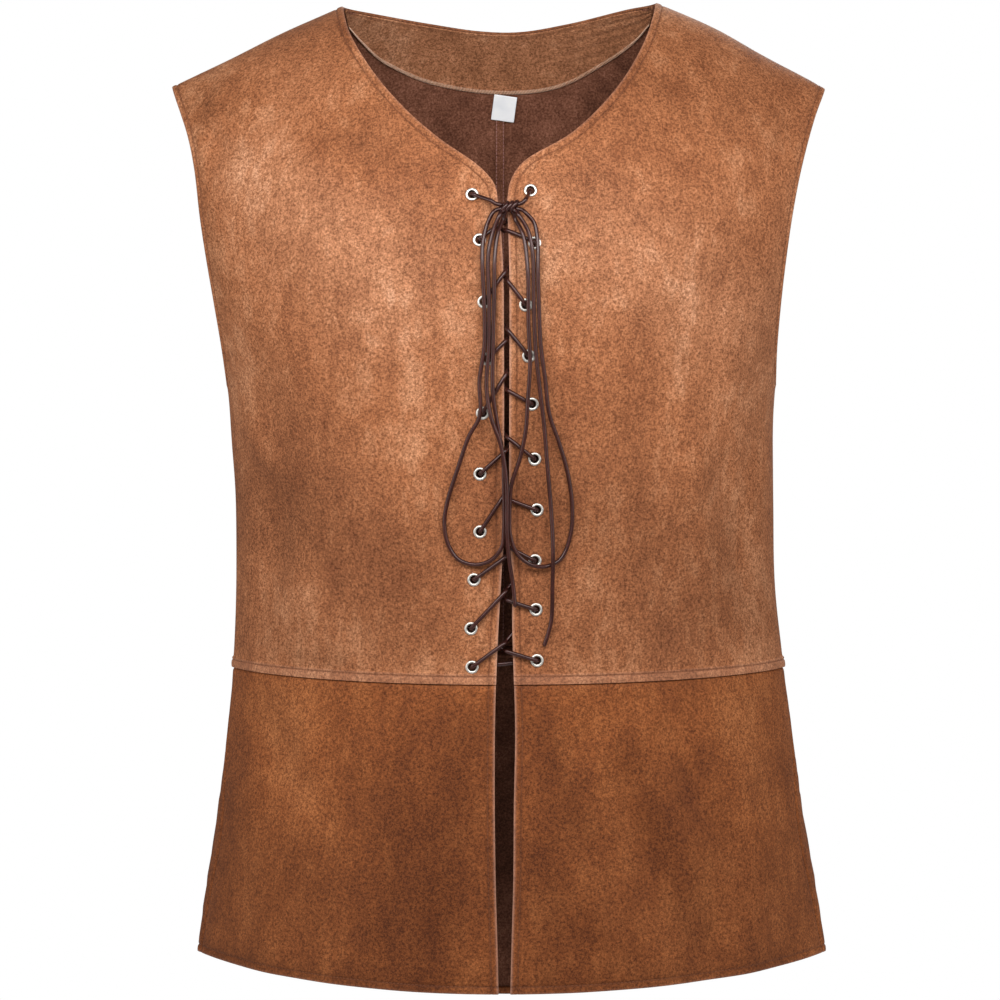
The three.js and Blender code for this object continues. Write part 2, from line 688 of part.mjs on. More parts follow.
function backBodiceGrid(side) {
  const sign = side === 'left' ? -1 : 1;
  const armhole = side === 'left' ? ARMHOLE_LEFT : ARMHOLE_RIGHT;
  const tip = armhole[0];
  const neckEnd = side === 'left' ? BACK_NECK[0] : BACK_NECK[BACK_NECK.length - 1];
  const tipAngle = roundAngle(tip.x, tip.height);
  const neckShare = roundAngle(neckEnd.x, tip.height) / tipAngle;
  const shares = [
    ...spread(BACK_NECK_COLUMNS, 0, Math.PI / 2).map((angle) => neckShare * Math.sin(angle)),
    ...spread(BACK_SHOULDER_COLUMNS, neckShare, 1).slice(1),
  ];
  const topX = shares.map((share) => {
    if (share === neckShare) return neckEnd.x;
    return placeAtAngle(share * tipAngle, tip.height);
  });
  const welt = weltRows();
  const level = [...welt.slice(0, 2), ...spread(SIDE_ROWS - 1, welt[2], UNDERARM)];
  const grid = level.map((height) => shares.map((share) => {
    const x = share === 0 ? 0 : placeAtAngle((sign * share * Math.PI) / 2, height);
    return skin('back', x, height);
  }));
  for (const t of spread(BACK_ROWS, 0, 1).slice(1)) {
    const rise = 0.5 - 0.5 * Math.cos(Math.PI * t);
    const edgeHeight = THREE.MathUtils.lerp(UNDERARM, tip.height, rise);
    const edgeX = t === 1 ? tip.x : readTable(armhole, 'height', 'x', edgeHeight);
    const edgeAngle = roundAngle(edgeX, edgeHeight);
    grid.push(shares.map((share, j) => {
      const height = THREE.MathUtils.lerp(UNDERARM, backTop(topX[j]), rise);
      let x = placeAtAngle(share * edgeAngle, edgeHeight);
      if (j === 0) x = 0;
      if (t === 1) x = topX[j];
      if (j === shares.length - 1) x = edgeX;
      const point = skin('back', x, height);
      if (t === 1 && Math.abs(topX[j]) >= Math.abs(neckEnd.x)) point.y = SEAM_GAP / 2;
      return point;
    }));
  }
  for (const row of grid) row[0].x = (sign * SEAM_GAP) / 2;
  return grid;
}

// Outer points and normals of each back bodice, kept for the facing that lies inside them.
const backCloth = {};

function addBackBodice(side) {
  const grid = backBodiceGrid(side);
  const turned = side === 'right';
  const levelRows = SIDE_ROWS + 1;
  const seams = { bottom: 'z', inner: 'x', outer: (i) => i <= levelRows };
  const normals = squareAt(gridNormals(grid, turned), seams);
  const top = normals[normals.length - 1];
  top.forEach((normal, j) => {
    if (j < BACK_NECK_COLUMNS) return;
    normal.y = 0;
    normal.normalize();
  });
  backCloth[side] = { grid, normals };
  raiseWelt(grid, normals);
  addPiece(`back_bodice_${side}`, clothWall(grid, normals, WALL, turned), suede);
}

addBackBodice('left');
addBackBodice('right');

// ---------------------------------------------------------------- skirt

const SKIRT_ROWS = 7;
const FRONT_SKIRT_COLUMNS = 9;
const BACK_SKIRT_COLUMNS = 22;

// Round angle of a side seam of the skirt, from the middle of the front.
function seamAngle(height) {
  return Math.PI / 2 - THREE.MathUtils.degToRad(readTable(SKIRT_SEAM, 'height', 'swing', height));
}

// Height of the hem at an angle right round the body: 0 is the front, 180 degrees the back.
function hemHeight(angle) {
  const front = HEM_DROP * Math.abs(Math.cos(angle)) ** HEM_CURVE;
  const back = BACK_DROP * Math.max(0, -Math.cos(angle)) ** BACK_CURVE;
  return HEM_SIDE - front - back;
}

function skirtHeight(t, angle) {
  return THREE.MathUtils.lerp(WAIST - SEAM_GAP / 2, hemHeight(angle), t);
}

// Place on the skirt at such an angle and a height.
function skirtPoint(angle, height) {
  const sign = Math.sign(angle);
  const turn = Math.abs(angle);
  const behind = turn > Math.PI / 2;
  const x = placeAtAngle(sign * (behind ? Math.PI - turn : turn), height);
  const point = skin(behind ? 'back' : 'front', x, height);
  const atSide = 1e-9;
  if (Math.abs(turn - Math.PI / 2) < atSide) point.y = 0;
  return point;
}

// Outward direction there, the same for the pieces on both sides of a seam.
function skirtNormal(angle, height) {
  const turn = 0.02;
  const drop = 2;
  const on = skirtPoint(angle + turn, height).sub(skirtPoint(angle - turn, height));
  const up = skirtPoint(angle, height + drop).sub(skirtPoint(angle, height - drop));
  return on.cross(up).normalize();
}

// A piece of skirt between two angles at each level; the angles rise to the right.
function addSkirtPiece(name, columns, edges) {
  const places = spread(SKIRT_ROWS, 1, 0).map((t) => {
    const { start, end } = edges(skirtHeight(t, Math.PI / 2));
    return spread(columns, start, end).map((angle) => {
      const signed = angle > Math.PI ? angle - 2 * Math.PI : angle;
      return { angle: signed, height: skirtHeight(t, signed) };
    });
  });
  const grid = places.map((row) => row.map(({ angle, height }) => skirtPoint(angle, height)));
  const normals = places.map((row) => row.map(({ angle, height }) => skirtNormal(angle, height)));
  addPiece(name, clothWall(grid, squareAt(normals, { top: 'z' }), WALL, false), suede);
}

// Half the seam gap, as an angle round the section beside a side seam.
const halfGapAngle = (sign, height) => SEAM_GAP / halfWidth(sign, height);

function addFrontSkirts() {
  addSkirtPiece('front_skirt_left', FRONT_SKIRT_COLUMNS, (height) => ({
    start: halfGapAngle(-1, height) - seamAngle(height),
    end: roundAngle(openingEdge('left', height), height),
  }));
  addSkirtPiece('front_skirt_right', FRONT_SKIRT_COLUMNS, (height) => ({
    start: roundAngle(openingEdge('right', height), height),
    end: seamAngle(height) - halfGapAngle(1, height),
  }));
}

function addBackSkirt() {
  addSkirtPiece('back_skirt', BACK_SKIRT_COLUMNS, (height) => ({
    start: seamAngle(height) + halfGapAngle(1, height),
    end: 2 * Math.PI - seamAngle(height) - halfGapAngle(-1, height),
  }));
}

addFrontSkirts();
addBackSkirt();

// ---------------------------------------------------------------- neck facing and label

const FACING_ROWS = 3;

// A place on one column of the back cloth at a height, moved in by a distance.
function underBackCloth(side, column, height, distance) {
  const { grid, normals } = backCloth[side];
  let i = grid.length - 2;
  while (i > 0 && grid[i][column].z > height) i -= 1;
  const t = (height - grid[i][column].z) / (grid[i + 1][column].z - grid[i][column].z);
  const point = grid[i][column].clone().lerp(grid[i + 1][column], t);
  const normal = normals[i][column].clone().lerp(normals[i + 1][column], t).normalize();
  return point.addScaledVector(normal, -distance);
}

function addFacing() {
  const columns = [];
  for (let j = BACK_NECK_COLUMNS; j > 0; j -= 1) columns.push({ side: 'left', j });
  for (let j = 0; j <= BACK_NECK_COLUMNS; j += 1) columns.push({ side: 'right', j });
  const grid = spread(FACING_ROWS, 0, 1).map((t) => columns.map(({ side, j }) => {
    const rim = backCloth[side].grid[backCloth[side].grid.length - 1][j];
    const low = readTable(FACING_EDGE, 'x', 'height', rim.x);
    const height = THREE.MathUtils.lerp(low, rim.z, t);
    return underBackCloth(side, j, height, WALL + SEAM_GAP);
  }));
  const normals = gridNormals(grid, true);
  addPiece('neck_facing', clothWall(grid, normals, FACING_THICKNESS, true), suede);
}

function addLabel() {
  const gaps = 3;
  const under = WALL + FACING_THICKNESS + gaps * SEAM_GAP;
  const place = offSkin('back', LABEL.x, LABEL.top - LABEL.length / 2, -under);
  const label = new THREE.BoxGeometry(LABEL.width, LABEL.thickness, LABEL.length);
  const mesh = addPiece('care_label', label, white);
  const out = skinNormal('back', LABEL.x, LABEL.top - LABEL.length / 2);
  mesh.position.copy(place).addScaledVector(out, -LABEL.thickness / 2);
  mesh.rotation.set(Math.asin(out.z), LABEL.tilt, 0);
}

addFacing();
addLabel();

// ---------------------------------------------------------------- eyelets

function eyeletGeometry() {
  const back = -WALL - EYELET_SLACK;
  const profile = [
    [EYELET_HOLE, SEAM_GAP + EYELET_HEIGHT],
    [EYELET_HOLE, back - EYELET_HEIGHT],
    [EYELET_CURL, back - EYELET_HEIGHT],
    [EYELET_CURL, back],
    [EYELET_BARREL, back],
    [EYELET_BARREL, SEAM_GAP],
    [EYELET_RIM, SEAM_GAP],
    [EYELET_RIM, SEAM_GAP + EYELET_HEIGHT * EYELET_ROUND],
    [EYELET_HOLE, SEAM_GAP + EYELET_HEIGHT],
  ].map(([radius, height]) => new THREE.Vector2(radius, height));
  return new THREE.LatheGeometry(profile, EYELET_SIDES);
}

function addEyelets(side) {
  eyeletSeats[side].forEach((place, i) => {
    const name = `eyelet_${side}_${String(i + 1).padStart(2, '0')}`;
    const bare = eyeletGeometry();
    bare.deleteAttribute('normal');
    bare.deleteAttribute('uv');
    const mesh = addPiece(name, mergeVertices(bare, MERGE), nickel);
    mesh.position.copy(place.at);
    mesh.quaternion.setFromUnitVectors(new THREE.Vector3(0, 1, 0), place.out);
  });
}

addEyelets('left');
addEyelets('right');

// ---------------------------------------------------------------- lace

// A smooth curve whose steps fall on its own points, so tight turns get short steps.
class RouteCurve extends THREE.CatmullRomCurve3 {
  constructor(points) {
    super(points, false, 'centripetal');
  }

  getUtoTmapping(u) {
    return u;
  }
}

function laceSection() {
  const shape = new THREE.Shape();
  for (let i = 0; i < LACE_SIDES; i += 1) {
    const angle = (2 * Math.PI * i) / LACE_SIDES;
    const x = (LACE / 2) * Math.cos(angle);
    const y = (LACE / 2) * Math.sin(angle);
    if (i === 0) shape.moveTo(x, y);
    else shape.lineTo(x, y);
  }
  shape.closePath();
  return shape;
}

function laceTube(points) {
  const tube = new THREE.ExtrudeGeometry(laceSection(), {
    steps: points.length - 1,
    extrudePath: new RouteCurve(points),
    bevelEnabled: false,
  });
  tube.deleteAttribute('normal');
  tube.deleteAttribute('uv');
  return mergeVertices(tube, MERGE);
}

// Where a strand turns in through the front opening.
function turnIn(height, out) {
  return offSkin('front', readTable(OPENING, 'height', 'middle', height), height, out);
}

// Up from behind through an eyelet's hole and down beside its ring.
function throughEyelet(at, out, from, to) {
  return THROUGH_EYELET.map((step) => at.clone().addScaledVector(out, step.out)
    .addScaledVector(step.towards === 'from' ? from : to, step.along));
}

// Out through one eyelet, over the cloth to the opening and in through it.
function strand(side, i, fromHeight) {
  const { at, out } = eyeletSeats[side][i];
  const from = turnIn(fromHeight, 0).sub(at).projectOnPlane(out).normalize();
  const height = TURNS_IN[i][side];
  const to = turnIn(height, 0).sub(at).projectOnPlane(out).normalize();
  return [
    ...throughEyelet(at, out, from, to),
    turnIn(height, LACE / 2).addScaledVector(to, -TURN_ASIDE),
    turnIn(height, -WALL - TURN_DEPTH).addScaledVector(to, TURN_ASIDE),
  ];
}

// The half of the lacing that starts at one bottom eyelet and changes sides at each turn.
function laceHalf(startSide) {
  const points = [];
  let side = startSide;
  let from = EYELETS[EYELETS.length - 1].rightHeight;
  for (let i = EYELETS.length - 1; i > 0; i -= 1) {
    points.push(...strand(side, i, from));
    from = TURNS_IN[i][side];
    side = side === 'left' ? 'right' : 'left';
  }
  const { at, out } = eyeletSeats[side][0];
  const back = turnIn(from, 0).sub(at).projectOnPlane(out).normalize();
  const [end, near] = knotExit(side === 'left' ? 'lacingLeft' : 'lacingRight');
  const to = near.clone().sub(at).projectOnPlane(out).normalize();
  return [...points, ...throughEyelet(at, out, back, to), near, end];
}

// Two points of a strand that leaves the knot square to its surface: its end and a short way on.
function knotExit(name) {
  const exit = KNOT_EXITS[name];
  const round = THREE.MathUtils.degToRad(exit.round);
  const out = THREE.MathUtils.degToRad(exit.out);
  const half = new THREE.Vector3(KNOT.wide, KNOT.deep, KNOT.tall).multiplyScalar(0.5);
  const turn = new THREE.Vector3(
    Math.cos(round) * Math.cos(out),
    -Math.sin(out),
    Math.sin(round) * Math.cos(out),
  );
  const middle = offSkin('front', KNOT.x, KNOT.height, KNOT.lift);
  const surface = turn.clone().multiply(half).add(middle);
  const away = turn.clone().divide(half).normalize();
  return [SEAM_GAP, LACE].map((gap) => surface.clone().addScaledVector(away, gap));
}

function addLacing() {
  const left = laceHalf('left');
  const right = laceHalf('right');
  const bottom = offSkin('front', LACE_CROSSING.x, LACE_CROSSING.height, -WALL - LACE_BEHIND);
  const route = [...left.reverse(), bottom, ...right];
  addPiece('lacing', laceTube(route), cord);
}

function routePoints(rows) {
  return rows.map((row) => offSkin('front', row.x, row.height, row.lift));
}

function addKnot() {
  const knot = new THREE.SphereGeometry(0.5, KNOT.sides, KNOT.rings);
  knot.deleteAttribute('normal');
  knot.deleteAttribute('uv');
  knot.scale(KNOT.wide, KNOT.deep, KNOT.tall);
  const mesh = addPiece('bow_knot', mergeVertices(knot, MERGE), cord);
  mesh.position.copy(offSkin('front', KNOT.x, KNOT.height, KNOT.lift));
}

function addLoop(side, rows) {
  const name = side === 'left' ? 'loopLeft' : 'loopRight';
  const route = [
    ...knotExit(`${name}Out`),
    ...routePoints(rows),
    ...knotExit(`${name}Back`).reverse(),
  ];
  addPiece(`bow_loop_${side}`, laceTube(route), cord);
}

function addEnd(side, rows) {
  const route = [...knotExit(side === 'left' ? 'endLeft' : 'endRight'), ...routePoints(rows)];
  addPiece(`lace_end_${side}`, laceTube(route), cord);
}

addLacing();
addKnot();
addLoop('left', LOOP_LEFT);
addLoop('right', LOOP_RIGHT);
addEnd('left', END_LEFT);
addEnd('right', END_RIGHT);

export default vest;
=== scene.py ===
"""A sleeveless vest of brown suede cloth, laced down the front, filled out as it is worn."""

import math

import bpy
import numpy as np
from mathutils import Matrix, Vector


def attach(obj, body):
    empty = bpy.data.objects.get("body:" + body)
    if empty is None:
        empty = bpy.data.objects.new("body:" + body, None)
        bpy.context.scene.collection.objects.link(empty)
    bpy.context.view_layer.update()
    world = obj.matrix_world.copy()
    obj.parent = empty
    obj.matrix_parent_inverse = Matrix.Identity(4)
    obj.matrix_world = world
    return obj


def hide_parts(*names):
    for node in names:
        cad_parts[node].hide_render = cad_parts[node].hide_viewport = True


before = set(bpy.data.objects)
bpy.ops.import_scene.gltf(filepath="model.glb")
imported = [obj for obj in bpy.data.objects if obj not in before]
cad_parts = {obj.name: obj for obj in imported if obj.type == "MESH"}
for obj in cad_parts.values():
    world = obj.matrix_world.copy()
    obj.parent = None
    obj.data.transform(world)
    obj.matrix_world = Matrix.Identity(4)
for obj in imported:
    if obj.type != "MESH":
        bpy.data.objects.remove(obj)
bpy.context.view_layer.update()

# ---------------------------------------------------------------- camera
# It stands 2.2 m in front of the vest at the height of the lower chest, and looks slightly down.

CAMERA_PLACE = (0.0, -2.2, -0.2417)
CAMERA_PITCH = math.radians(2.771)
VIEW_ANGLE = math.radians(18.335)

bpy.ops.object.select_all(action="DESELECT")
bpy.ops.object.camera_add(location=CAMERA_PLACE, rotation=(math.pi / 2 - CAMERA_PITCH, 0, 0))
camera = bpy.context.object
camera.name = "camera"
camera.data.sensor_fit = "HORIZONTAL"
camera.data.angle = VIEW_ANGLE
bpy.context.scene.camera = camera

# ---------------------------------------------------------------- lace
# One round, waxed lace runs through the eyelets, ends in a bow at the neck, and its two free
# ends hang down the front. It is held by the eyelets and by its own knot.


def table(names, rows):
    """A short table's columns by name."""
    return {name: np.array(column) for name, column in zip(names.split(), zip(*rows))}


WALL = 0.0016
SEAM_GAP = 0.0003
SECTION_POWER = 2.1
SHOULDER_TIP = 0.230
FRONT_ROLL = {"neck_reach": 0.210, "tip_reach": 0.125, "lean": 1.6, "round": 0.58}
BACK_ROLL = {"neck_reach": 0.130, "tip_reach": 0.105, "lean": 1.8, "round": 0.55}

# Sections of the body by height: half-widths to each side, depths to the front and back, and
# how the depth falls towards the side seams (0.5: as an ellipse, 1: as a lens).
SECTIONS = table("height left right front back fall", [
    (0.03, 0.276, 0.274, 0.115, 0.096, 0.46),
    (0.0, 0.268, 0.266, 0.118, 0.101, 0.46),
    (-0.057, 0.246, 0.244, 0.122, 0.11, 0.46),
    (-0.114, 0.227, 0.225, 0.126, 0.116, 0.47),
    (-0.15, 0.222, 0.217, 0.127, 0.118, 0.48),
    (-0.18, 0.2155, 0.2115, 0.128, 0.118, 0.5),
    (-0.21, 0.209, 0.2065, 0.128, 0.117, 0.53),
    (-0.242, 0.2002, 0.1995, 0.127, 0.115, 0.57),
    (-0.266, 0.1937, 0.1955, 0.126, 0.112, 0.61),
    (-0.3, 0.191, 0.194, 0.124, 0.109, 0.65),
    (-0.35, 0.188, 0.1945, 0.122, 0.106, 0.69),
    (-0.41, 0.188, 0.196, 0.121, 0.106, 0.72),
    (-0.467, 0.1905, 0.2025, 0.122, 0.109, 0.74),
    (-0.51, 0.1943, 0.208, 0.1255, 0.1135, 0.74),
    (-0.56, 0.2005, 0.2148, 0.131, 0.1205, 0.76),
    (-0.62, 0.2095, 0.2252, 0.139, 0.1295, 0.81),
    (-0.69, 0.219, 0.2365, 0.148, 0.139, 0.88),
    (-0.74, 0.224, 0.243, 0.152, 0.145, 0.88),
])
# Ridge line over the shoulders.
SHOULDER = table("x height", [
    (-0.29, -0.084),
    (-0.2315, -0.056),
    (-0.19, -0.0364),
    (-0.148, -0.0159),
    (-0.111, 0.0004),
    (-0.085, 0.011),
    (-0.05, 0.019),
    (0.0, 0.023),
    (0.05, 0.02),
    (0.085, 0.013),
    (0.11, 0.0028),
    (0.151, -0.0148),
    (0.182, -0.032),
    (0.219, -0.0515),
    (0.2295, -0.0575),
    (0.29, -0.088),
])
# Largest soft folds: a line on the cloth, half-width and how far it stands out.
FOLDS = table("side x0 z0 x1 z1 width out", [
    ("front", 0.124, -0.27, 0.146, -0.385, 0.011, 0.0032),
    ("front", 0.148, -0.285, 0.163, -0.395, 0.01, -0.0035),
    ("front", -0.158, -0.25, -0.164, -0.42, 0.013, -0.003),
    ("front", -0.205, -0.072, -0.197, -0.112, 0.008, -0.0026),
    ("front", 0.203, -0.07, 0.196, -0.108, 0.008, -0.0024),
    ("front", -0.12, -0.5, -0.052, -0.64, 0.017, -0.003),
    ("front", 0.062, -0.505, 0.128, -0.65, 0.016, -0.0032),
    ("front", -0.175, -0.52, -0.16, -0.69, 0.016, 0.003),
    ("front", 0.178, -0.525, 0.172, -0.69, 0.016, 0.0032),
    ("back", -0.15, -0.22, -0.128, -0.4, 0.015, 0.0034),
    ("back", -0.122, -0.235, -0.104, -0.41, 0.012, -0.003),
    ("back", 0.142, -0.235, 0.118, -0.395, 0.014, 0.003),
    ("back", 0.112, -0.25, 0.095, -0.42, 0.012, -0.0028),
    ("back", -0.11, -0.5, -0.14, -0.69, 0.018, 0.004),
    ("back", -0.06, -0.51, -0.072, -0.69, 0.017, -0.004),
    ("back", 0.018, -0.515, 0.022, -0.69, 0.018, 0.0036),
    ("back", 0.07, -0.505, 0.092, -0.69, 0.016, -0.004),
    ("back", 0.128, -0.5, 0.152, -0.69, 0.017, 0.0038),
])
# Opening down the front: where its middle lies and half its width.
OPENING = table("height middle half", [
    (-0.142, 0.0017, 0.003),
    (-0.172, 0.0036, 0.0022),
    (-0.208, 0.0044, 0.0019),
    (-0.369, 0.0044, 0.0019),
    (-0.386, 0.0046, 0.0032),
    (-0.431, 0.0036, 0.0047),
    (-0.467, 0.0034, 0.006),
    (-0.5, 0.0034, 0.0067),
    (-0.548, 0.0029, 0.0063),
    (-0.596, 0.003, 0.0058),
    (-0.645, 0.003, 0.0044),
    (-0.69, 0.0029, 0.0034),
])
# Eyelets, from the neck down: the middle of each pair's holes.
EYELETS = table("leftX leftHeight rightX rightHeight", [
    (-0.0187, -0.1377, 0.0204, -0.135),
    (-0.0137, -0.1683, 0.0231, -0.1703),
    (-0.0107, -0.2096, 0.0171, -0.2116),
    (-0.0084, -0.2477, 0.0191, -0.2457),
    (-0.0117, -0.2839, 0.0214, -0.2778),
    (-0.0134, -0.3247, 0.0232, -0.3147),
    (-0.0134, -0.3637, 0.0248, -0.3489),
    (-0.0175, -0.396, 0.0235, -0.3832),
    (-0.0195, -0.429, 0.0242, -0.4162),
    (-0.0188, -0.455, 0.0249, -0.4506),
])
# Heights at which the strand from each eyelet turns in through the front opening.
TURNS_IN = table("left right", [
    (0.0, 0.0),
    (-0.1564, -0.1616),
    (-0.1885, -0.1945),
    (-0.2347, -0.2273),
    (-0.2568, -0.2681),
    (-0.3083, -0.2996),
    (-0.3362, -0.3412),
    (-0.3798, -0.3731),
    (-0.4032, -0.4093),
    (-0.4382, -0.4438),
])
# Bow loops and free ends: points on the front, and how far each stands off the cloth.
LOOP_LEFT = table("x height lift", [
    (-0.009, -0.161, 0.007),
    (-0.0112, -0.171, 0.007),
    (-0.0116, -0.184, 0.007),
    (-0.0104, -0.21, 0.007),
    (-0.0102, -0.238, 0.007),
    (-0.0134, -0.262, 0.007),
    (-0.0132, -0.285, 0.007),
    (-0.0205, -0.2995, 0.0064),
    (-0.0275, -0.32, 0.005),
    (-0.0349, -0.3437, 0.0036),
    (-0.0369, -0.3575, 0.003),
    (-0.0346, -0.3715, 0.0028),
    (-0.0276, -0.382, 0.003),
    (-0.0165, -0.3854, 0.004),
    (-0.0062, -0.3824, 0.006),
    (0.0009, -0.374, 0.007),
    (0.0026, -0.362, 0.007),
    (0.0026, -0.338, 0.007),
    (0.002, -0.3129, 0.007),
    (-0.0016, -0.291, 0.007),
    (-0.0046, -0.27, 0.007),
    (-0.0046, -0.24, 0.007),
    (-0.0038, -0.205, 0.007),
    (-0.0034, -0.18, 0.007),
    (-0.0014, -0.165, 0.0062),
])
LOOP_RIGHT = table("x height lift", [
    (0.0224, -0.1585, 0.007),
    (0.0246, -0.17, 0.007),
    (0.0248, -0.19, 0.007),
    (0.0254, -0.212, 0.007),
    (0.0266, -0.238, 0.007),
    (0.0296, -0.262, 0.007),
    (0.0322, -0.284, 0.0066),
    (0.039, -0.304, 0.005),
    (0.045, -0.325, 0.0036),
    (0.048, -0.348, 0.003),
    (0.0468, -0.366, 0.0028),
    (0.041, -0.381, 0.003),
    (0.0314, -0.3865, 0.0046),
    (0.0206, -0.3854, 0.007),
    (0.0114, -0.378, 0.007),
    (0.0068, -0.366, 0.007),
    (0.0062, -0.35, 0.007),
    (0.0074, -0.332, 0.007),
    (0.0129, -0.314, 0.007),
    (0.0166, -0.296, 0.007),
    (0.0182, -0.274, 0.007),
    (0.0196, -0.25, 0.007),
    (0.0186, -0.225, 0.007),
    (0.0182, -0.19, 0.007),
    (0.0152, -0.166, 0.0062),
])
END_LEFT = table("x height lift", [
    (-0.0044, -0.164, 0.0082),
    (-0.0076, -0.178, 0.007),
    (-0.0072, -0.21, 0.007),
    (-0.0074, -0.24, 0.007),
    (-0.0088, -0.266, 0.0074),
    (-0.006, -0.285, 0.0094),
    (0.0006, -0.305, 0.0104),
    (0.0042, -0.33, 0.0104),
    (0.0046, -0.362, 0.0104),
    (0.006, -0.382, 0.009),
    (0.0084, -0.398, 0.007),
    (0.01, -0.414, 0.007),
])
END_RIGHT = table("x height lift", [
    (0.0184, -0.164, 0.0082),
    (0.0214, -0.178, 0.007),
    (0.022, -0.21, 0.007),
    (0.0232, -0.24, 0.007),
    (0.0256, -0.264, 0.007),
    (0.0286, -0.29, 0.007),
    (0.031, -0.32, 0.007),
    (0.0336, -0.352, 0.007),
    (0.0344, -0.378, 0.0084),
    (0.0344, -0.4, 0.006),
    (0.034, -0.424, 0.003),
    (0.0294, -0.441, 0.0024),
])

LACE = 0.0028  # diameter
LACE_RUN = 0.0029  # height of its middle over the cloth, where it passes over an eyelet's ring
LACE_BEHIND = 0.0034  # and its depth behind the cloth
PAIRS = len(EYELETS["leftX"])
KNOT = {"x": 0.006, "height": -0.148, "lift": 0.0074}
KNOT_SIZE = np.array([0.020, 0.009, 0.011])  # across, deep and tall
IN_KNOT = 0.26  # share of that size from the knot's middle at which its strands begin

# Where each strand meets the knot: degrees round it from the right, and out from its middle.
KNOT_EXITS = {
    "lacing_left": (158, 0),
    "lacing_right": (28, 0),
    "loop_left_out": (205, 12),
    "end_left": (230, 34),
    "loop_left_back": (250, -14),
    "loop_right_back": (290, -14),
    "end_right": (310, 34),
    "loop_right_out": (335, 12),
}


def read(rows, key, column, at):
    """Smooth value of one column of a table between its rows."""
    order = np.argsort(rows[key])
    keys, values = rows[key][order], rows[column][order]
    after, before = np.append(values[1:], values[-1]), np.append(values[0], values[:-1])
    rise = np.append(keys[1:], keys[-1]) - np.append(keys[0], keys[:-1])
    slope = (after - before) / rise
    at = np.asarray(at, float)
    i = np.clip(np.searchsorted(keys, at, side="right") - 1, 0, len(keys) - 2)
    span = keys[i + 1] - keys[i]
    t = np.clip((at - keys[i]) / span, 0, 1)
    first = values[i] * (2 * t**3 - 3 * t**2 + 1) + slope[i] * span * (t**3 - 2 * t**2 + t)
    return first + values[i + 1] * (3 * t**2 - 2 * t**3) + slope[i + 1] * span * (t**3 - t**2)


def shoulder_height(x):
    return read(SHOULDER, "x", "height", x)


def half_width(x, height):
    left = read(SECTIONS, "height", "left", height)
    return np.where(np.asarray(x) < 0, left, read(SECTIONS, "height", "right", height))


def roll_share(roll, x, below):
    """Share of the full depth, from nothing at the shoulder line to all at the roll's reach."""
    towards_tip = np.minimum(1, (x / SHOULDER_TIP) ** 2)
    reach = roll["neck_reach"] + (roll["tip_reach"] - roll["neck_reach"]) * towards_tip
    t = np.clip(below / reach, 0, 1)
    return (1 - (1 - t) ** roll["lean"]) ** roll["round"]


FOLD_END = 0.15  # share of a fold's height that is left at its ends
FOLD_FADE = 0.04  # folds fade where the body is less deep than this


def rows_on(rows, side):
    """The rows of a table of lines that lie on the front or back, without the name of the side."""
    return [row[1:] for row in zip(*rows.values()) if row[0] == side]


def nearest(x, height, x0, z0, x1, z1):
    """Share of the way along a line at which a place is nearest to it, and how far off it is."""
    dx, dz = x1 - x0, z1 - z0
    near = np.clip(((x - x0) * dx + (height - z0) * dz) / (dx * dx + dz * dz), 0, 1)
    return near, np.hypot(x - x0 - near * dx, height - z0 - near * dz)


def fold_out(side, x, height):
    """How far the soft folds stand out at a place on the front or back."""
    total = 0.0
    for *line, width, out in rows_on(FOLDS, side):
        near, off = nearest(x, height, *line)
        along = FOLD_END + (1 - 2 * FOLD_END) * near
        total = total + out * np.exp(-((off / width) ** 2)) * np.sin(np.pi * along)
    return total


def skin(side, x, height):
    """Outer surface of the front or back cloth at places seen from the front."""
    x, height = np.broadcast_arrays(np.asarray(x, float), np.asarray(height, float))
    share = np.minimum(1, np.abs(x) / half_width(x, height))
    across = (1 - share**SECTION_POWER) ** read(SECTIONS, "height", "fall", height)
    below = shoulder_height(x) - height
    roll = roll_share(FRONT_ROLL if side == "front" else BACK_ROLL, x, below)
    full = read(SECTIONS, "height", side, height) * across * roll
    folds = fold_out(side, x, height) * np.minimum(1, full / FOLD_FADE)
    depth = SEAM_GAP / 2 + full + folds
    return np.stack([x, -depth if side == "front" else depth, height], axis=-1)


def unit(vectors):
    return vectors / np.maximum(np.linalg.norm(vectors, axis=-1, keepdims=True), 1e-12)


def skin_normal(side, x, height):
    """Outward direction of that surface, from two short steps on it."""
    step = 0.002
    x, height = np.asarray(x, float), np.asarray(height, float)
    along_x = skin(side, x + step, height) - skin(side, x - step, height)
    along_z = skin(side, x, height + step) - skin(side, x, height - step)
    outward = np.cross(along_x, along_z) if side == "front" else np.cross(along_z, along_x)
    return unit(outward)


def off_skin(side, x, height, out):
    """A place on the front or back, moved out from the cloth by a distance."""
    out = np.asarray(out, float)[..., None]
    return skin(side, x, height) + skin_normal(side, x, height) * out


def smooth_curve(points, steps):
    """A centripetal curve through the points, with so many steps between each two."""
    points = np.asarray(points, float)
    padded = np.concatenate([[2 * points[0] - points[1]], points, [2 * points[-1] - points[-2]]])
    t = (np.arange(steps) / steps)[:, None]
    stretches = []
    for p0, p1, p2, p3 in zip(padded, padded[1:], padded[2:], padded[3:]):
        a, b, c = (np.linalg.norm(q - p) ** 0.5 for p, q in ((p0, p1), (p1, p2), (p2, p3)))
        start = b * ((p1 - p0) / a - (p2 - p0) / (a + b) + (p2 - p1) / b)
        end = b * ((p2 - p1) / b - (p3 - p1) / (b + c) + (p3 - p2) / c)
        first = p1 * (2 * t**3 - 3 * t**2 + 1) + start * (t**3 - 2 * t**2 + t)
        stretches.append(first + p2 * (3 * t**2 - 2 * t**3) + end * (t**3 - t**2))
    return np.concatenate([*stretches, points[-1:]])


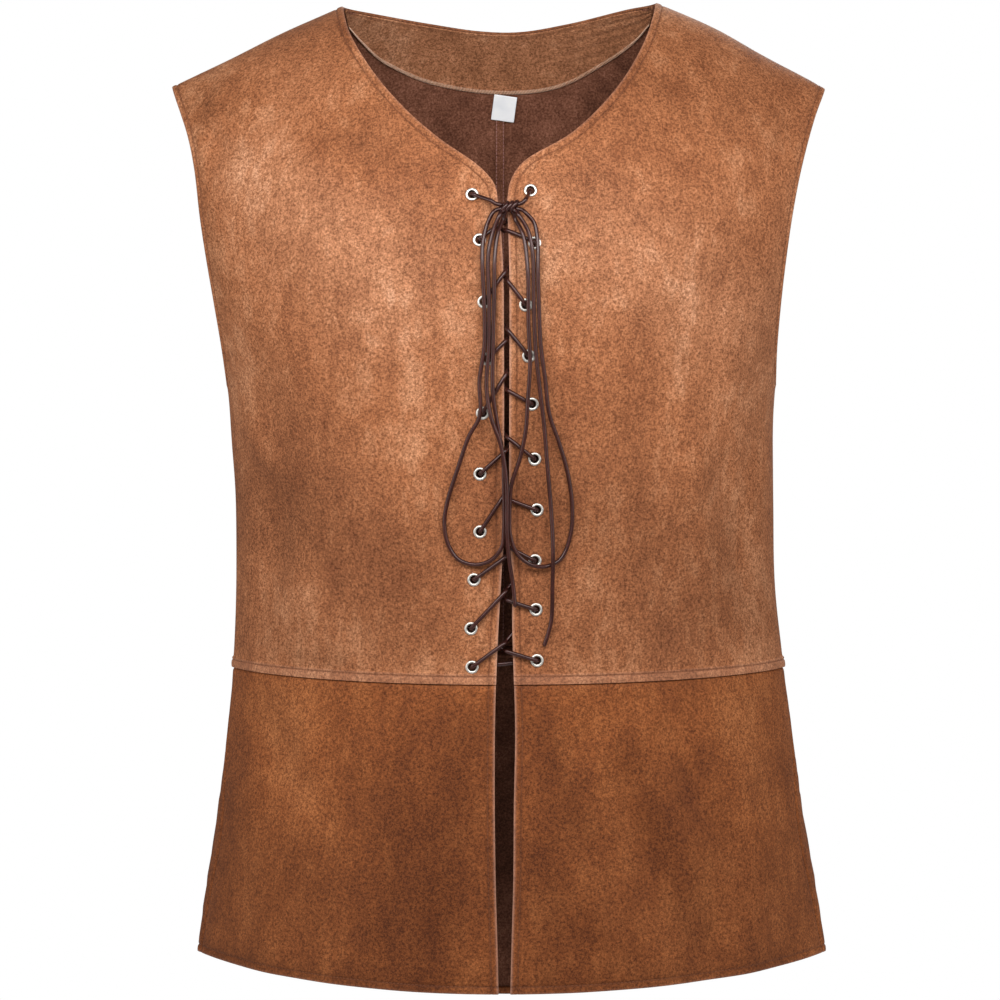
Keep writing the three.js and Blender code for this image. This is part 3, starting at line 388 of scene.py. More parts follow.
def lengths_along(points):
    """Distance along a line of points, from its start to each of them."""
    steps = np.linalg.norm(np.diff(points, axis=0), axis=-1)
    return np.concatenate([[0], np.cumsum(steps)])


def points_at(points, distances):
    """Places on a line of points at distances along it, with whatever else its rows hold."""
    along = lengths_along(points[:, :3])
    return np.stack([np.interp(distances, along, column) for column in points.T], axis=-1)


def new_mesh_piece(name, vertices, faces, uvs=None):
    """A mesh object at the origin from vertices and faces, with a UV pair for each vertex."""
    mesh = bpy.data.meshes.new(name)
    mesh.from_pydata([tuple(v) for v in vertices], [], faces)
    if uvs is not None:
        layer = mesh.uv_layers.new(name="UVMap")
        corners = np.empty(len(mesh.loops), dtype=np.int32)
        mesh.loops.foreach_get("vertex_index", corners)
        layer.data.foreach_set("uv", np.asarray(uvs, np.float32)[corners].ravel())
    piece = bpy.data.objects.new(name, mesh)
    bpy.context.scene.collection.objects.link(piece)
    mesh.shade_smooth()
    return piece


def lace_tube(name, points, spacing=0.0009, sides=12, taper=()):
    """A round lace along the points; its UV map runs round it and along it, in metres."""
    fine = smooth_curve(points, 12)
    length = lengths_along(fine)[-1]
    count = int(length / spacing)
    line = points_at(fine, np.linspace(0, length, count + 1))
    along = unit(np.gradient(line, axis=0))
    side = unit(np.cross(along[0], [0.0, 1.0, 0.2]))
    sides_of = []
    for direction in along:
        side = unit(side - direction * side.dot(direction))
        sides_of.append(side)
    across = np.array(sides_of)
    other = np.cross(along, across)
    distance = np.linspace(0, length, count + 1)
    radius = np.full(count + 1, LACE / 2)
    for end in taper:
        from_end = distance if end == "start" else length - distance
        radius *= np.clip(0.45 + 0.55 * np.sqrt(np.clip(from_end / 0.0012, 0, 1)), 0, 1)
    angles = np.linspace(0, 2 * math.pi, sides + 1)[:-1]
    ring = np.cos(angles)[None, :, None] * across[:, None] + np.sin(angles)[None, :, None] * other[:, None]
    vertices = (line[:, None] + ring * radius[:, None, None]).reshape(-1, 3)
    vertices = np.concatenate([vertices, line[:1], line[-1:]])
    faces = []
    for i in range(count):
        for j in range(sides):
            k = (j + 1) % sides
            faces.append((i * sides + j, i * sides + k, (i + 1) * sides + k, (i + 1) * sides + j))
    first, last = len(vertices) - 2, len(vertices) - 1
    for j in range(sides):
        k = (j + 1) % sides
        faces.append((first, k, j))
        faces.append((last, count * sides + j, count * sides + k))
    round_it = np.tile(angles / (2 * math.pi), count + 1)
    uvs = np.stack([round_it, np.repeat(distance, sides)], axis=-1)
    uvs = np.concatenate([uvs, [[0, 0]], [[0, length]]])
    return new_mesh_piece(name, vertices, faces, uvs), line, length


def turn_in(height, out):
    """Where a strand turns in through the front opening."""
    return off_skin("front", read(OPENING, "height", "middle", height), height, out)


def in_cloth(vector, out):
    """Direction of a vector in the plane of the cloth."""
    return unit(vector - out * vector.dot(out))


def eyelet_seat(side, i):
    x, height = EYELETS[side + "X"][i], EYELETS[side + "Height"][i]
    return skin("front", x, height), skin_normal("front", x, height)


def knot_exit(name):
    """Three points of a strand that comes from inside the knot, square to its surface."""
    turned, out = (math.radians(angle) for angle in KNOT_EXITS[name])
    turn = np.array([
        math.cos(turned) * math.cos(out), -math.sin(out), math.sin(turned) * math.cos(out),
    ])
    middle = off_skin("front", KNOT["x"], KNOT["height"], KNOT["lift"])
    away = unit(turn / KNOT_SIZE)
    inside = middle + turn * KNOT_SIZE * IN_KNOT
    return [inside] + [middle + turn * KNOT_SIZE / 2 + away * gap for gap in (SEAM_GAP, LACE)]


def through_eyelet(at, out, start, end):
    """Up from behind through an eyelet's hole and down beside its ring."""
    steps = (
        (-WALL - LACE_BEHIND, start, 0.002),
        (-WALL - 0.0015, start, 0.0002),
        (0.0004, end, 0.0001),
        (LACE_RUN - 0.0003, end, 0.001),
        (LACE_RUN + 0.0002, end, 0.0038),
    )
    return [at + out * height + side * along for height, side, along in steps]


def strand(side, i, from_height):
    """Out through one eyelet, over the cloth to the opening and in through it."""
    at, out = eyelet_seat(side, i)
    start = in_cloth(turn_in(from_height, 0) - at, out)
    height = TURNS_IN[side][i]
    end = in_cloth(turn_in(height, 0) - at, out)
    return through_eyelet(at, out, start, end) + [
        turn_in(height, LACE / 2) - end * 0.0008,
        turn_in(height, -WALL - 0.0026) + end * 0.0008,
    ]


def lace_half(side):
    """Half of the lacing, from one bottom eyelet up, changing sides at each turn."""
    points = []
    before = EYELETS["rightHeight"][-1]
    for i in range(PAIRS - 1, 0, -1):
        points += strand(side, i, before)
        before = TURNS_IN[side][i]
        side = "right" if side == "left" else "left"
    at, out = eyelet_seat(side, 0)
    start = in_cloth(turn_in(before, 0) - at, out)
    ends = knot_exit("lacing_" + side)[::-1]
    return points + through_eyelet(at, out, start, in_cloth(ends[0] - at, out)) + ends


def route(rows):
    return list(off_skin("front", rows["x"], rows["height"], rows["lift"]))


class Value:
    """One output of a material's nodes; sums on it add their nodes."""

    def __init__(self, finish, socket):
        self.finish, self.socket = finish, socket

    def sum(self, operation, first, second):
        return self.finish.node("ShaderNodeMath", {"operation": operation}, {0: first, 1: second})

    def __add__(self, other):
        return self.sum("ADD", self, other)

    def __radd__(self, other):
        return self.sum("ADD", other, self)

    def __sub__(self, other):
        return self.sum("SUBTRACT", self, other)

    def __mul__(self, other):
        return self.sum("MULTIPLY", self, other)

    def __rmul__(self, other):
        return self.sum("MULTIPLY", other, self)


class Finish:
    """A material of one surface and its nodes; sockets that never vary are set by name."""

    def __init__(self, name, **sockets):
        self.material = bpy.data.materials.new(name)
        self.material.use_nodes = True
        self.nodes = self.material.node_tree.nodes
        self.links = self.material.node_tree.links
        self.shader = self.nodes["Principled BSDF"]
        for socket, value in sockets.items():
            self.shader.inputs[socket.replace("_", " ")].default_value = value

    def node(self, kind, settings=None, sockets=None, output=0):
        """Adds a node: its settings first, then the values or links of its sockets."""
        made = self.nodes.new(kind)
        for name, value in (settings or {}).items():
            if name == "stops":
                for _ in value[2:]:
                    made.color_ramp.elements.new(0.5)
                for element, (place, shade) in zip(made.color_ramp.elements, value):
                    element.position, element.color = place, shade
            else:
                setattr(made, name, value)
        for name, value in (sockets or {}).items():
            if isinstance(value, Value):
                self.links.new(value.socket, made.inputs[name])
            else:
                made.inputs[name].default_value = value
        return Value(self, made.outputs[output])

    def noise(self, place, scale, detail, roughness=0.5, distortion=0.0):
        return self.node("ShaderNodeTexNoise", {}, {
            "Vector": place, "Scale": scale, "Detail": detail,
            "Roughness": roughness, "Distortion": distortion,
        })

    def stretched(self, place, scale, turn=(0, 0, 0)):
        sockets = {"Vector": place, "Scale": scale, "Rotation": turn}
        return self.node("ShaderNodeMapping", {}, sockets)

    def shades(self, value, *stops):
        """A colour picked by a value between 0 and 1."""
        return self.node("ShaderNodeValToRGB", {"stops": stops}, {"Fac": value})

    def mix(self, share, first, second, kind="MIX"):
        settings = {"data_type": "RGBA", "blend_type": kind}
        return self.node("ShaderNodeMix", settings, {0: share, 6: first, 7: second}, output=2)

    def bump(self, height, strength, distance):
        sockets = {"Height": height, "Strength": strength, "Distance": distance}
        return self.node("ShaderNodeBump", {}, sockets)

    def feed(self, **sockets):
        for socket, value in sockets.items():
            self.links.new(value.socket, self.shader.inputs[socket.replace("_", " ")])
        return self.material


def shade(red, green, blue):
    """A colour from its shares of 255 on a screen."""
    shares = [part / 255 for part in (red, green, blue)]
    linear = [((s + 0.055) / 1.055) ** 2.4 if s > 0.04045 else s / 12.92 for s in shares]
    return (*linear, 1.0)


def wear(piece, slot, *materials):
    """Gives a piece its finishes, and rides it on the vest."""
    for material in materials:
        piece.data.materials.append(material)
    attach(piece, "root")


def lace_finish():
    """Tightly braided cord with a wax shine: fine strands wind round it both ways."""
    lace = Finish("waxed_lace", Specular_IOR_Level=0.4, Coat_Roughness=0.18)
    place = lace.node("ShaderNodeTexCoord", output=2)
    braid = 0.0
    for turn in (1, -1):
        winding = lace.node("ShaderNodeVectorMath", {"operation": "DOT_PRODUCT"}, {
            0: place, 1: (4.0, turn * 1300.0, 0.0),
        }, output=1)
        wave = lace.node("ShaderNodeMath", {"operation": "SINE"}, {0: winding * (2 * math.pi)})
        braid = braid + wave * 0.25
    strand_height = braid + 0.5
    fleck = lace.noise(lace.stretched(place, (6.0, 700.0, 1.0)), 1.0, 3, 0.6)
    worn = lace.noise(lace.stretched(place, (1.0, 60.0, 1.0)), 1.0, 2, 0.6)
    # Painted shade in the valleys between the strands and painted highlight on their crowns, with flecks
    # and wear.
    tone = lace.shades(
        strand_height * 0.45 + fleck * 0.30 + worn * 0.25,
        (0.36, shade(9, 3, 3)), (0.54, shade(27, 11, 9)), (0.72, shade(92, 52, 46)),
    )
    rough = 0.26 + 0.25 * fleck
    lace.feed(Base_Color=tone, Roughness=rough, Normal=lace.bump(strand_height + fleck * 0.4, 0.5, 0.0002))
    lace.shader.inputs["Coat Weight"].default_value = 0.7
    lace.shader.inputs["Coat Tint"].default_value = shade(255, 214, 206)
    lace.shader.inputs["Specular Tint"].default_value = shade(255, 190, 180)
    return lace.material


KNOT_COIL = {"half": 0.0062, "lean": 0.0016, "deep": 0.0026, "tall": 0.0029, "tilt": 0.0008}


def knot_coil():
    """The lace wound round and round the strands, from the knot's left end to its right."""
    middle = off_skin("front", KNOT["x"], KNOT["height"], KNOT["lift"])
    turns = np.linspace(0.6 * math.pi, 7.4 * math.pi, 70)
    wound = turns / (4 * math.pi) - 1
    return middle + np.stack([
        KNOT_COIL["half"] * wound + KNOT_COIL["lean"] * np.sin(turns),
        -KNOT_COIL["deep"] * np.cos(turns),
        KNOT_COIL["tall"] * np.sin(turns) + KNOT_COIL["tilt"] * wound,
    ], axis=-1)


waxed_lace = lace_finish()
bottom = off_skin("front", 0.0034, EYELETS["leftHeight"][-1] + 0.002, -WALL - LACE_BEHIND)
lacing, _, _ = lace_tube("lacing_lace", lace_half("left")[::-1] + [bottom] + lace_half("right"))
knot, _, _ = lace_tube("bow_knot_lace", knot_coil(), taper=("start", "end"))
for piece, node in ((lacing, "lacing"), (knot, "bow_knot")):
    wear(piece, "lace", waxed_lace)
    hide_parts(node)


def hang(node, points, taper=()):
    """A free stretch of the lace, from the knot to its far end."""
    piece, line, length = lace_tube(f"{node}_lace", points, taper=taper)
    wear(piece, "lace", waxed_lace)
    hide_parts(node)


for side, rows in (("left", LOOP_LEFT), ("right", LOOP_RIGHT)):
    back_in = knot_exit(f"loop_{side}_back")[::-1]
    hang(f"bow_loop_{side}", knot_exit(f"loop_{side}_out") + route(rows) + back_in)
for side, rows in (("left", END_LEFT), ("right", END_RIGHT)):
    hang(f"lace_end_{side}", knot_exit(f"end_{side}") + route(rows), taper=("end",))


# ---------------------------------------------------------------- front bodice
# Two fronts of knitted suede cloth. The opening, neckline and armhole edges are turned in and
# topstitched, and the lower edge is turned and stitched down over the skirt as a welt.

WAIST = -0.467
UNDERARM = -0.266
WELT_RISE = 0.0008  # how far the welt stands proud
WELT_SEWN = 0.0053  # height of its stitches over the waist
WELT_TOP = 0.0078  # height over which it has stepped back
WELT_STITCH = 7  # the row of points that its stitches lie on
FRONT_STITCH = 0.005  # from a front edge to its stitches
ARMHOLE_STITCH = 0.004
EDGE_CALM = 0.012  # creases fade so near to an edge or a seam
FOOT = 5 / 13  # share of the rows over the underarm that lie below the foot of the neckline
CROWDING = 1.25  # how much closer those rows lie at the shoulder than at the underarm

# Armhole edges seen from the front, from the shoulder tip down to the underarm.
ARMHOLE_LEFT = table("height x", [
    (-0.056, -0.2315),
    (-0.091, -0.2183),
    (-0.114, -0.213),
    (-0.15, -0.2083),
    (-0.18, -0.204),
    (-0.21, -0.1994),
    (-0.242, -0.1953),
    (-0.266, -0.1937),
])
ARMHOLE_RIGHT = table("height x", [
    (-0.0575, 0.2295),
    (-0.08, 0.22),
    (-0.114, 0.21),
    (-0.145, 0.2035),
    (-0.176, 0.199),
    (-0.21, 0.1957),
    (-0.242, 0.1945),
    (-0.266, 0.1955),
])
# Front neckline, from the top of each front edge up to the neck end of the shoulder seam.
NECKLINE_LEFT = table("x height", [
    (-0.0013, -0.142),
    (-0.0034, -0.131),
    (-0.0134, -0.119),
    (-0.045, -0.096),
    (-0.078, -0.063),
    (-0.103, -0.0245),
    (-0.111, 0.0004),
])
NECKLINE_RIGHT = table("x height", [
    (0.0047, -0.142),
    (0.0068, -0.129),
    (0.015, -0.116),
    (0.05, -0.094),
    (0.08, -0.0625),
    (0.1, -0.028),
    (0.11, 0.0028),
])
# Which way each side lies, its armhole and its neckline.
SIDES = {
    "left": (-1, ARMHOLE_LEFT, NECKLINE_LEFT),
    "right": (1, ARMHOLE_RIGHT, NECKLINE_RIGHT),
}
def opening_edge(side, height):
    middle = read(OPENING, "height", "middle", height)
    half = read(OPENING, "height", "half", height)
    return middle - half if side == "left" else middle + half


def round_angle(x, height):
    """Angle round the section of a place, from 0 at the middle to a right angle at the side."""
    share = np.minimum(1, np.abs(x) / half_width(x, height))
    return np.sign(x) * np.arcsin(share ** (SECTION_POWER / 2))


def place_at_angle(angle, height):
    across = np.abs(np.sin(np.abs(angle))) ** (2 / SECTION_POWER)
    return np.sign(angle) * half_width(angle, height) * across


def spread(count, start, end):
    return np.linspace(start, end, count + 1)


def edge_ladder(stitch):
    """Distances of the first lines of points beside an edge with a row of stitches."""
    near = [0, 0.0008, 0.0018, 0.0030]
    groove = [stitch + step for step in (-0.0010, -0.0004, 0, 0.0004, 0.0010, 0.0024, 0.0046)]
    return np.array([d for d in near if d < stitch - 0.0012] + groove)


def stitch_line(stitch):
    """Which line of that ladder its stitches lie on."""
    return int(np.argmin(np.abs(edge_ladder(stitch) - stitch)))


def respace(row, start, end, middle):
    """Places on one fine row: close together beside both its ends and even between them."""
    length = lengths_along(row[:, :3])[-1]
    between = np.linspace(start[-1], length - end[-1], middle + 2)[1:-1]
    wanted = np.concatenate([start, between, length - end[::-1]])
    return points_at(row, wanted), wanted


def slant(rows):
    """How much longer than square to the edge each row runs beside its first point."""
    along = unit(np.gradient(np.array([row[0] for row in rows]), axis=0))
    inward = unit(np.array([row[4] - row[0] for row in rows]))
    return 1 / np.maximum(np.linalg.norm(np.cross(along, inward), axis=-1), 0.6)


def grid_normals(grid, mirrored):
    up, on = np.gradient(grid, axis=0), np.gradient(grid, axis=1)
    return unit(np.cross(up, on) if mirrored else np.cross(on, up))


def stitched_edge(distance, stitch):
    """Relief beside a turned edge: a full lip, the row of stitches drawn in, then flat."""
    lip = 0.00035 * np.sin(np.pi * np.clip(distance / stitch, 0, 1)) ** 0.7
    groove = 0.00055 * np.exp(-(((distance - stitch) / 0.0006) ** 2))
    return np.where(distance < stitch, lip, 0) - groove


def seam_edge(distance):
    """Relief beside a seam: the cloth rolls down into it."""
    return -0.0008 * np.exp(-((distance / 0.0013) ** 2))


# Creases and soft hollows seen on the cloth: a line, its bow to one side, half-width and height.
CREASES = table("side x0 z0 x1 z1 bow width out", [
    ("front", -0.208, -0.080, -0.182, -0.108, 0.004, 0.0060, -0.0026),
    ("front", -0.196, -0.062, -0.206, -0.120, 0.003, 0.0070, 0.0026),
    ("front", -0.176, -0.150, -0.120, -0.230, 0.010, 0.0160, -0.0026),
    ("front", -0.150, -0.205, -0.105, -0.300, 0.012, 0.0190, 0.0022),
    ("front", -0.172, -0.290, -0.150, -0.330, 0.004, 0.0080, 0.0026),
    ("front", -0.150, -0.330, -0.172, -0.440, -0.006, 0.0100, -0.0029),
    ("front", -0.128, -0.390, -0.070, -0.448, 0.008, 0.0140, -0.0019),
    ("front", -0.092, -0.120, -0.060, -0.210, -0.006, 0.0180, -0.0019),
    ("front", 0.186, -0.130, 0.128, -0.215, -0.010, 0.0160, -0.0026),
    ("front", 0.165, -0.225, 0.132, -0.330, -0.006, 0.0150, 0.0029),
    ("front", 0.178, -0.300, 0.170, -0.420, 0.004, 0.0090, -0.0026),
    ("front", 0.098, -0.350, 0.142, -0.450, 0.006, 0.0130, -0.0021),
    ("front", 0.070, -0.130, 0.052, -0.215, 0.006, 0.0170, -0.0018),
    ("front", -0.160, -0.490, -0.118, -0.560, 0.006, 0.0110, -0.0022),
    ("front", -0.086, -0.560, -0.046, -0.655, -0.006, 0.0150, 0.0019),
    ("front", 0.036, -0.540, 0.072, -0.640, 0.007, 0.0140, 0.0019),
    ("front", 0.120, -0.500, 0.166, -0.590, 0.008, 0.0110, -0.0026),
    ("front", 0.150, -0.600, 0.140, -0.676, 0.002, 0.0120, -0.0019),
    ("back", -0.184, -0.140, -0.118, -0.215, 0.010, 0.0150, -0.0029),
    ("back", 0.188, -0.135, 0.124, -0.220, -0.009, 0.0150, -0.0026),
    ("back", -0.090, -0.045, -0.040, -0.095, 0.006, 0.0130, -0.0019),
    ("back", 0.084, -0.040, 0.044, -0.100, -0.006, 0.0130, -0.0019),
    ("back", -0.158, -0.300, -0.060, -0.355, 0.012, 0.0120, -0.0032),
    ("back", 0.150, -0.325, 0.050, -0.375, -0.011, 0.0110, -0.0029),
    ("back", -0.120, -0.400, -0.030, -0.440, 0.007, 0.0120, -0.0022),
    ("back", 0.112, -0.415, 0.034, -0.448, -0.006, 0.0100, -0.0021),
    ("back", -0.044, -0.545, -0.052, -0.676, 0.004, 0.0130, 0.0022),
    ("back", 0.046, -0.530, 0.058, -0.676, -0.004, 0.0130, 0.0022),
])


CREASE_END = 0.12  # share of the way into its rise at which a crease begins and ends


def crease_out(side, x, height):
    """Height of the creases, and of the cloth's slight unevenness, at places on it."""
    total = 0.0
    for x0, z0, x1, z1, bow, width, out in rows_on(CREASES, side):
        dx, dz = x1 - x0, z1 - z0
        length = math.hypot(dx, dz)
        t = ((x - x0) * dx + (height - z0) * dz) / length**2
        near = np.clip(t, 0, 1)
        off = ((x - x0) * dz - (height - z0) * dx) / length - bow * 4 * near * (1 - near)
        beyond = (t - near) * length
        along = CREASE_END + (1 - 2 * CREASE_END) * near
        total = total + out * np.exp(-(off**2 + beyond**2) / width**2) * np.sin(np.pi * along)
    phase = 0.0 if side == "front" else 2.1
    uneven = (
        0.00045 * np.sin(61 * x + 23 * height + phase) * np.sin(47 * height - 19 * x + 1.3 * phase)
        + 0.00025 * np.sin(113 * x - 71 * height + 3 * phase + 2 * np.sin(31 * height))
    )
    calm = np.clip((np.abs(x - 0.004) - 0.030) / 0.030, 0, 1) if side == "front" else 1.0
    return (total + uneven) * calm


# Painted light and shade as patches of nap: pale where light falls on the chest, dark where shade
# falls elsewhere and in troughs. A line, how far it reaches to its sides, and how strong it is.
PAINTED_LIGHT = table("side x0 z0 x1 z1 width amount", [
    ("front", -0.156, -0.100, -0.073, -0.200, 0.046, 0.56),
    ("front", -0.195, -0.072, -0.095, -0.111, 0.026, -0.42),
    ("front", -0.215, -0.070, -0.205, -0.110, 0.012, -0.16),
    ("front", -0.206, -0.130, -0.196, -0.205, 0.009, -0.24),
    ("front", 0.060, -0.165, 0.150, -0.215, 0.045, 0.36),
    ("front", 0.100, -0.045, 0.190, -0.080, 0.028, -0.16),
    ("front", 0.205, -0.130, 0.192, -0.210, 0.012, 0.12),
    ("front", -0.150, -0.345, -0.070, -0.390, 0.045, -0.32),
    ("front", 0.040, -0.350, 0.140, -0.385, 0.050, -0.34),
    ("front", -0.150, -0.440, -0.050, -0.440, 0.026, -0.20),
    ("front", -0.140, -0.453, -0.112, -0.455, 0.008, -0.22),
    ("front", 0.060, -0.440, 0.180, -0.430, 0.030, -0.24),
    ("front", -0.130, -0.610, 0.140, -0.600, 0.080, -0.28),
    ("front", -0.022, -0.500, -0.050, -0.650, 0.022, -0.40),
    ("front", -0.062, -0.520, -0.080, -0.640, 0.013, -0.18),
    ("front", 0.026, -0.495, 0.052, -0.560, 0.015, -0.34),
    ("front", 0.085, -0.515, 0.135, -0.640, 0.013, -0.26),
    ("front", 0.028, -0.580, 0.040, -0.660, 0.018, -0.24),
    ("front", 0.060, -0.625, 0.100, -0.665, 0.016, -0.16),
    ("front", -0.157, -0.490, -0.138, -0.550, 0.018, 0.28),
    ("front", 0.165, -0.490, 0.180, -0.560, 0.020, 0.26),
    ("front", -0.200, -0.668, 0.200, -0.668, 0.011, -0.24),
    ("back", -0.150, -0.100, -0.080, -0.190, 0.045, 0.36),
    ("back", 0.070, -0.150, 0.145, -0.220, 0.045, 0.32),
    ("back", -0.040, -0.300, 0.060, -0.330, 0.050, -0.26),
    ("back", -0.160, -0.380, -0.080, -0.420, 0.045, -0.24),
    ("back", 0.120, -0.390, 0.170, -0.420, 0.040, -0.22),
    ("back", -0.180, -0.610, 0.180, -0.630, 0.090, -0.28),
    ("back", 0.030, -0.510, 0.060, -0.660, 0.020, -0.24),
    ("back", -0.110, -0.520, -0.130, -0.640, 0.018, -0.22),
    ("back", 0.140, -0.500, 0.150, -0.560, 0.018, 0.20),
])


def painted_light_at(side, x, height):
    """Painted light and shade at places on the front or back: over 0 painted light, under 0 painted shade.
    """
    total = 0.0
    for *line, width, amount in rows_on(PAINTED_LIGHT, side):
        off = nearest(x, height, *line)[1]
        total = total + amount * np.exp(-((off / width) ** 2))
    return total


def cloth_marks(*edges, band=0.0):
    """Marks that the finish reads: turned edges paler from wear and painted highlight, a welt's band of
    painted highlight, and painted shade in the grooves of their stitches.
    """
    worn, groove = band, 0.0
    for distance, stitch, on, pale in edges:
        # a pale line along each edge, wear and painted highlight, and painted shade along its stitches
        near = np.exp(-((distance / 0.0011) ** 2)) * on * pale
        row = np.exp(-(((distance - stitch) / 0.0008) ** 2)) * on
        worn, groove = np.maximum(worn, near), np.maximum(groove, row)
    return {"worn": worn, "groove": groove}


def make_cloth(name, grid, mirrored, marks, outside, wall=WALL):
    """A fine grid primitive laid on the grid's points, given its thickness inwards."""
    rows, columns = grid.shape[:2]
    bpy.ops.object.select_all(action="DESELECT")
    bpy.ops.mesh.primitive_grid_add(x_subdivisions=columns - 1, y_subdivisions=rows - 1, size=1)
    piece = bpy.context.object
    piece.name = name
    piece.data.name = name
    flat = np.empty(rows * columns * 3)
    piece.data.vertices.foreach_get("co", flat)
    flat = flat.reshape(-1, 3)
    column = np.rint((flat[:, 0] + 0.5) * (columns - 1)).astype(int)
    row = np.rint((flat[:, 1] + 0.5) * (rows - 1)).astype(int)
    piece.data.vertices.foreach_set("co", grid[row, column].ravel())
    for mark, amount in marks.items():
        layer = piece.data.attributes.new(mark, "FLOAT", "POINT")
        layer.data.foreach_set("value", np.broadcast_to(amount, grid.shape[:2])[row, column].ravel())
    if mirrored:
        piece.data.flip_normals()
    for material in (outside, wrong_side):
        piece.data.materials.append(material)
    thick = piece.modifiers.new("thickness", "SOLIDIFY")
    thick.thickness = wall
    thick.offset = -1
    thick.material_offset = 1
    thick.material_offset_rim = 0
    bpy.ops.object.modifier_apply(modifier=thick.name)
    rounded = piece.modifiers.new("rounded edges", "BEVEL")
    rounded.width = 0.0005
    rounded.segments = 2
    rounded.limit_method = "ANGLE"
    rounded.angle_limit = math.radians(50)
    bpy.ops.object.modifier_apply(modifier=rounded.name)
    piece.data.shade_smooth()
    return piece


def lines_on(grid, mirrored, *places):
    """Lines of stitches on the cloth: their points and the cloth's outward directions there."""
    normals = grid_normals(grid, mirrored)
    return [(grid[place], normals[place]) for place in places]


def welt_ladder():
    """Heights over the waist of the first rows, through the welt, its stitches and its step."""
    return np.array([
        0, 0.0006, 0.0014, 0.0024, 0.0034, 0.0044, 0.0049, 0.0053, 0.0057, 0.0062, 0.0067,
        0.0072, 0.0078, 0.0088, 0.0105, 0.0130,
    ])


def pucker(over, x):
    """Small gathers that the stitches of the welt draw in the cloth over them."""
    waves = np.sin(2 * np.pi * x / 0.0068) + 0.6 * np.sin(2 * np.pi * x / 0.0103 + 1)
    fade = np.clip((over - 0.0072) / 0.002, 0, 1) * np.exp(-((over - 0.0072) / 0.007))
    return 0.00016 * waves * fade


def welt_relief(over):
    """The turned lower edge stands proud, with its row of stitches drawn in."""
    rise = np.clip((WELT_TOP - over) / 0.0012, 0, 1)
    puff = 0.0003 * np.sin(np.pi * np.clip(over / WELT_SEWN, 0, 1))
    groove = 0.0005 * np.exp(-(((over - WELT_SEWN) / 0.0005) ** 2))
    return WELT_RISE * rise * rise * (3 - 2 * rise) + puff - groove


def bodice_relief(face, grid, over, edges, fade):
    """How far the bodice's edges, welt, creases and gathers stand out together."""
    relief = edges * np.clip((over - WELT_TOP) / 0.004, 0, 1) + welt_relief(over)
    relief += crease_out(face, grid[..., 0], grid[..., 2]) * fade
    relief += pucker(over, grid[..., 0])
    return relief[..., None]


def bodice_marks(face, grid, over, *edges):
    """The marks of a front or back: its edges, painted highlight on its raised welt, painted shade in the
    welt's stitch groove, and painted light and shade as nap patches.
    """
    marks = cloth_marks(*edges, band=0.2 * np.clip((0.0072 - over) / 0.0006, 0, 1))
    marks["groove"] = np.maximum(marks["groove"], np.exp(-(((over - WELT_SEWN) / 0.0006) ** 2)))
    marks["nap"] = painted_light_at(face, grid[..., 0], grid[..., 2])
    return marks


def bodice_heights():
    """Heights of the rows of points from the waist seam up to the underarm."""
    welt = WAIST + SEAM_GAP / 2 + welt_ladder()
    return np.concatenate([welt, spread(56, welt[-1], UNDERARM)[1:-1]])


def armhole_rows(count):
    """Shares of the rows over the underarm, with the foot of the neckline among them."""
    low = spread(count // 3, 0, FOOT)
    high = FOOT + (1 - FOOT) * (1 - (1 - spread(count, 0, 1)[1:]) ** CROWDING)
    return np.concatenate([low, high])


def along_rows(rows, shares):
    """Places along a smooth curve through a table's rows, as x and height."""
    fine = smooth_curve(np.stack([rows["x"], rows["height"]], axis=-1), 24)
    return points_at(fine, np.asarray(shares) * lengths_along(fine)[-1])


def front_ends(side, low, shares):
    """Both ends of each row: on the opening or neckline, and on the side seam or armhole."""
    sign, armhole, neckline = SIDES[side]
    foot = neckline["height"][0]
    inner = [(float(opening_edge(side, height)), height) for height in low]
    outer = [(float(sign * half_width(sign, height)), height) for height in low]
    upside = {"x": armhole["x"][::-1], "height": armhole["height"][::-1]}
    outer += [tuple(place) for place in along_rows(upside, 0.5 - 0.5 * np.cos(np.pi * shares))]
    for t in shares:
        if t < FOOT:
            height = UNDERARM + (foot - UNDERARM) * t / FOOT
            inner.append((float(opening_edge(side, height)), height))
        else:
            share = 1 - (1 - min(1, (t - FOOT) / (1 - FOOT))) ** CROWDING
            inner.append(tuple(along_rows(neckline, [share])[0]))
    return inner, outer


def front_rows(side, low, shares):
    """Fine rows over a front: level at the waist, and tilted to lie along the shoulder at last."""
    tilts = np.concatenate([np.zeros(len(low)), shares**0.8])
    u = spread(150, 0, 1)
    rows = []
    for (x0, z0), (x1, z1), tilt in zip(*front_ends(side, low, shares), tilts):
        start = round_angle(x0, z0)
        end = SIDES[side][0] * math.pi / 2 if tilt == 0 else round_angle(x1, z1)
        x = place_at_angle(start + (end - start) * u, z0 + (z1 - z0) * u)
        x[0], x[-1] = x0, x1
        share = (x - x0) / (x1 - x0)
        below = (shoulder_height(x0) - z0) * (1 - share) + (shoulder_height(x1) - z1) * share
        height = (z0 + (z1 - z0) * share) * (1 - tilt) + (shoulder_height(x) - below) * tilt
        rows.append(skin("front", x, height))
    return rows


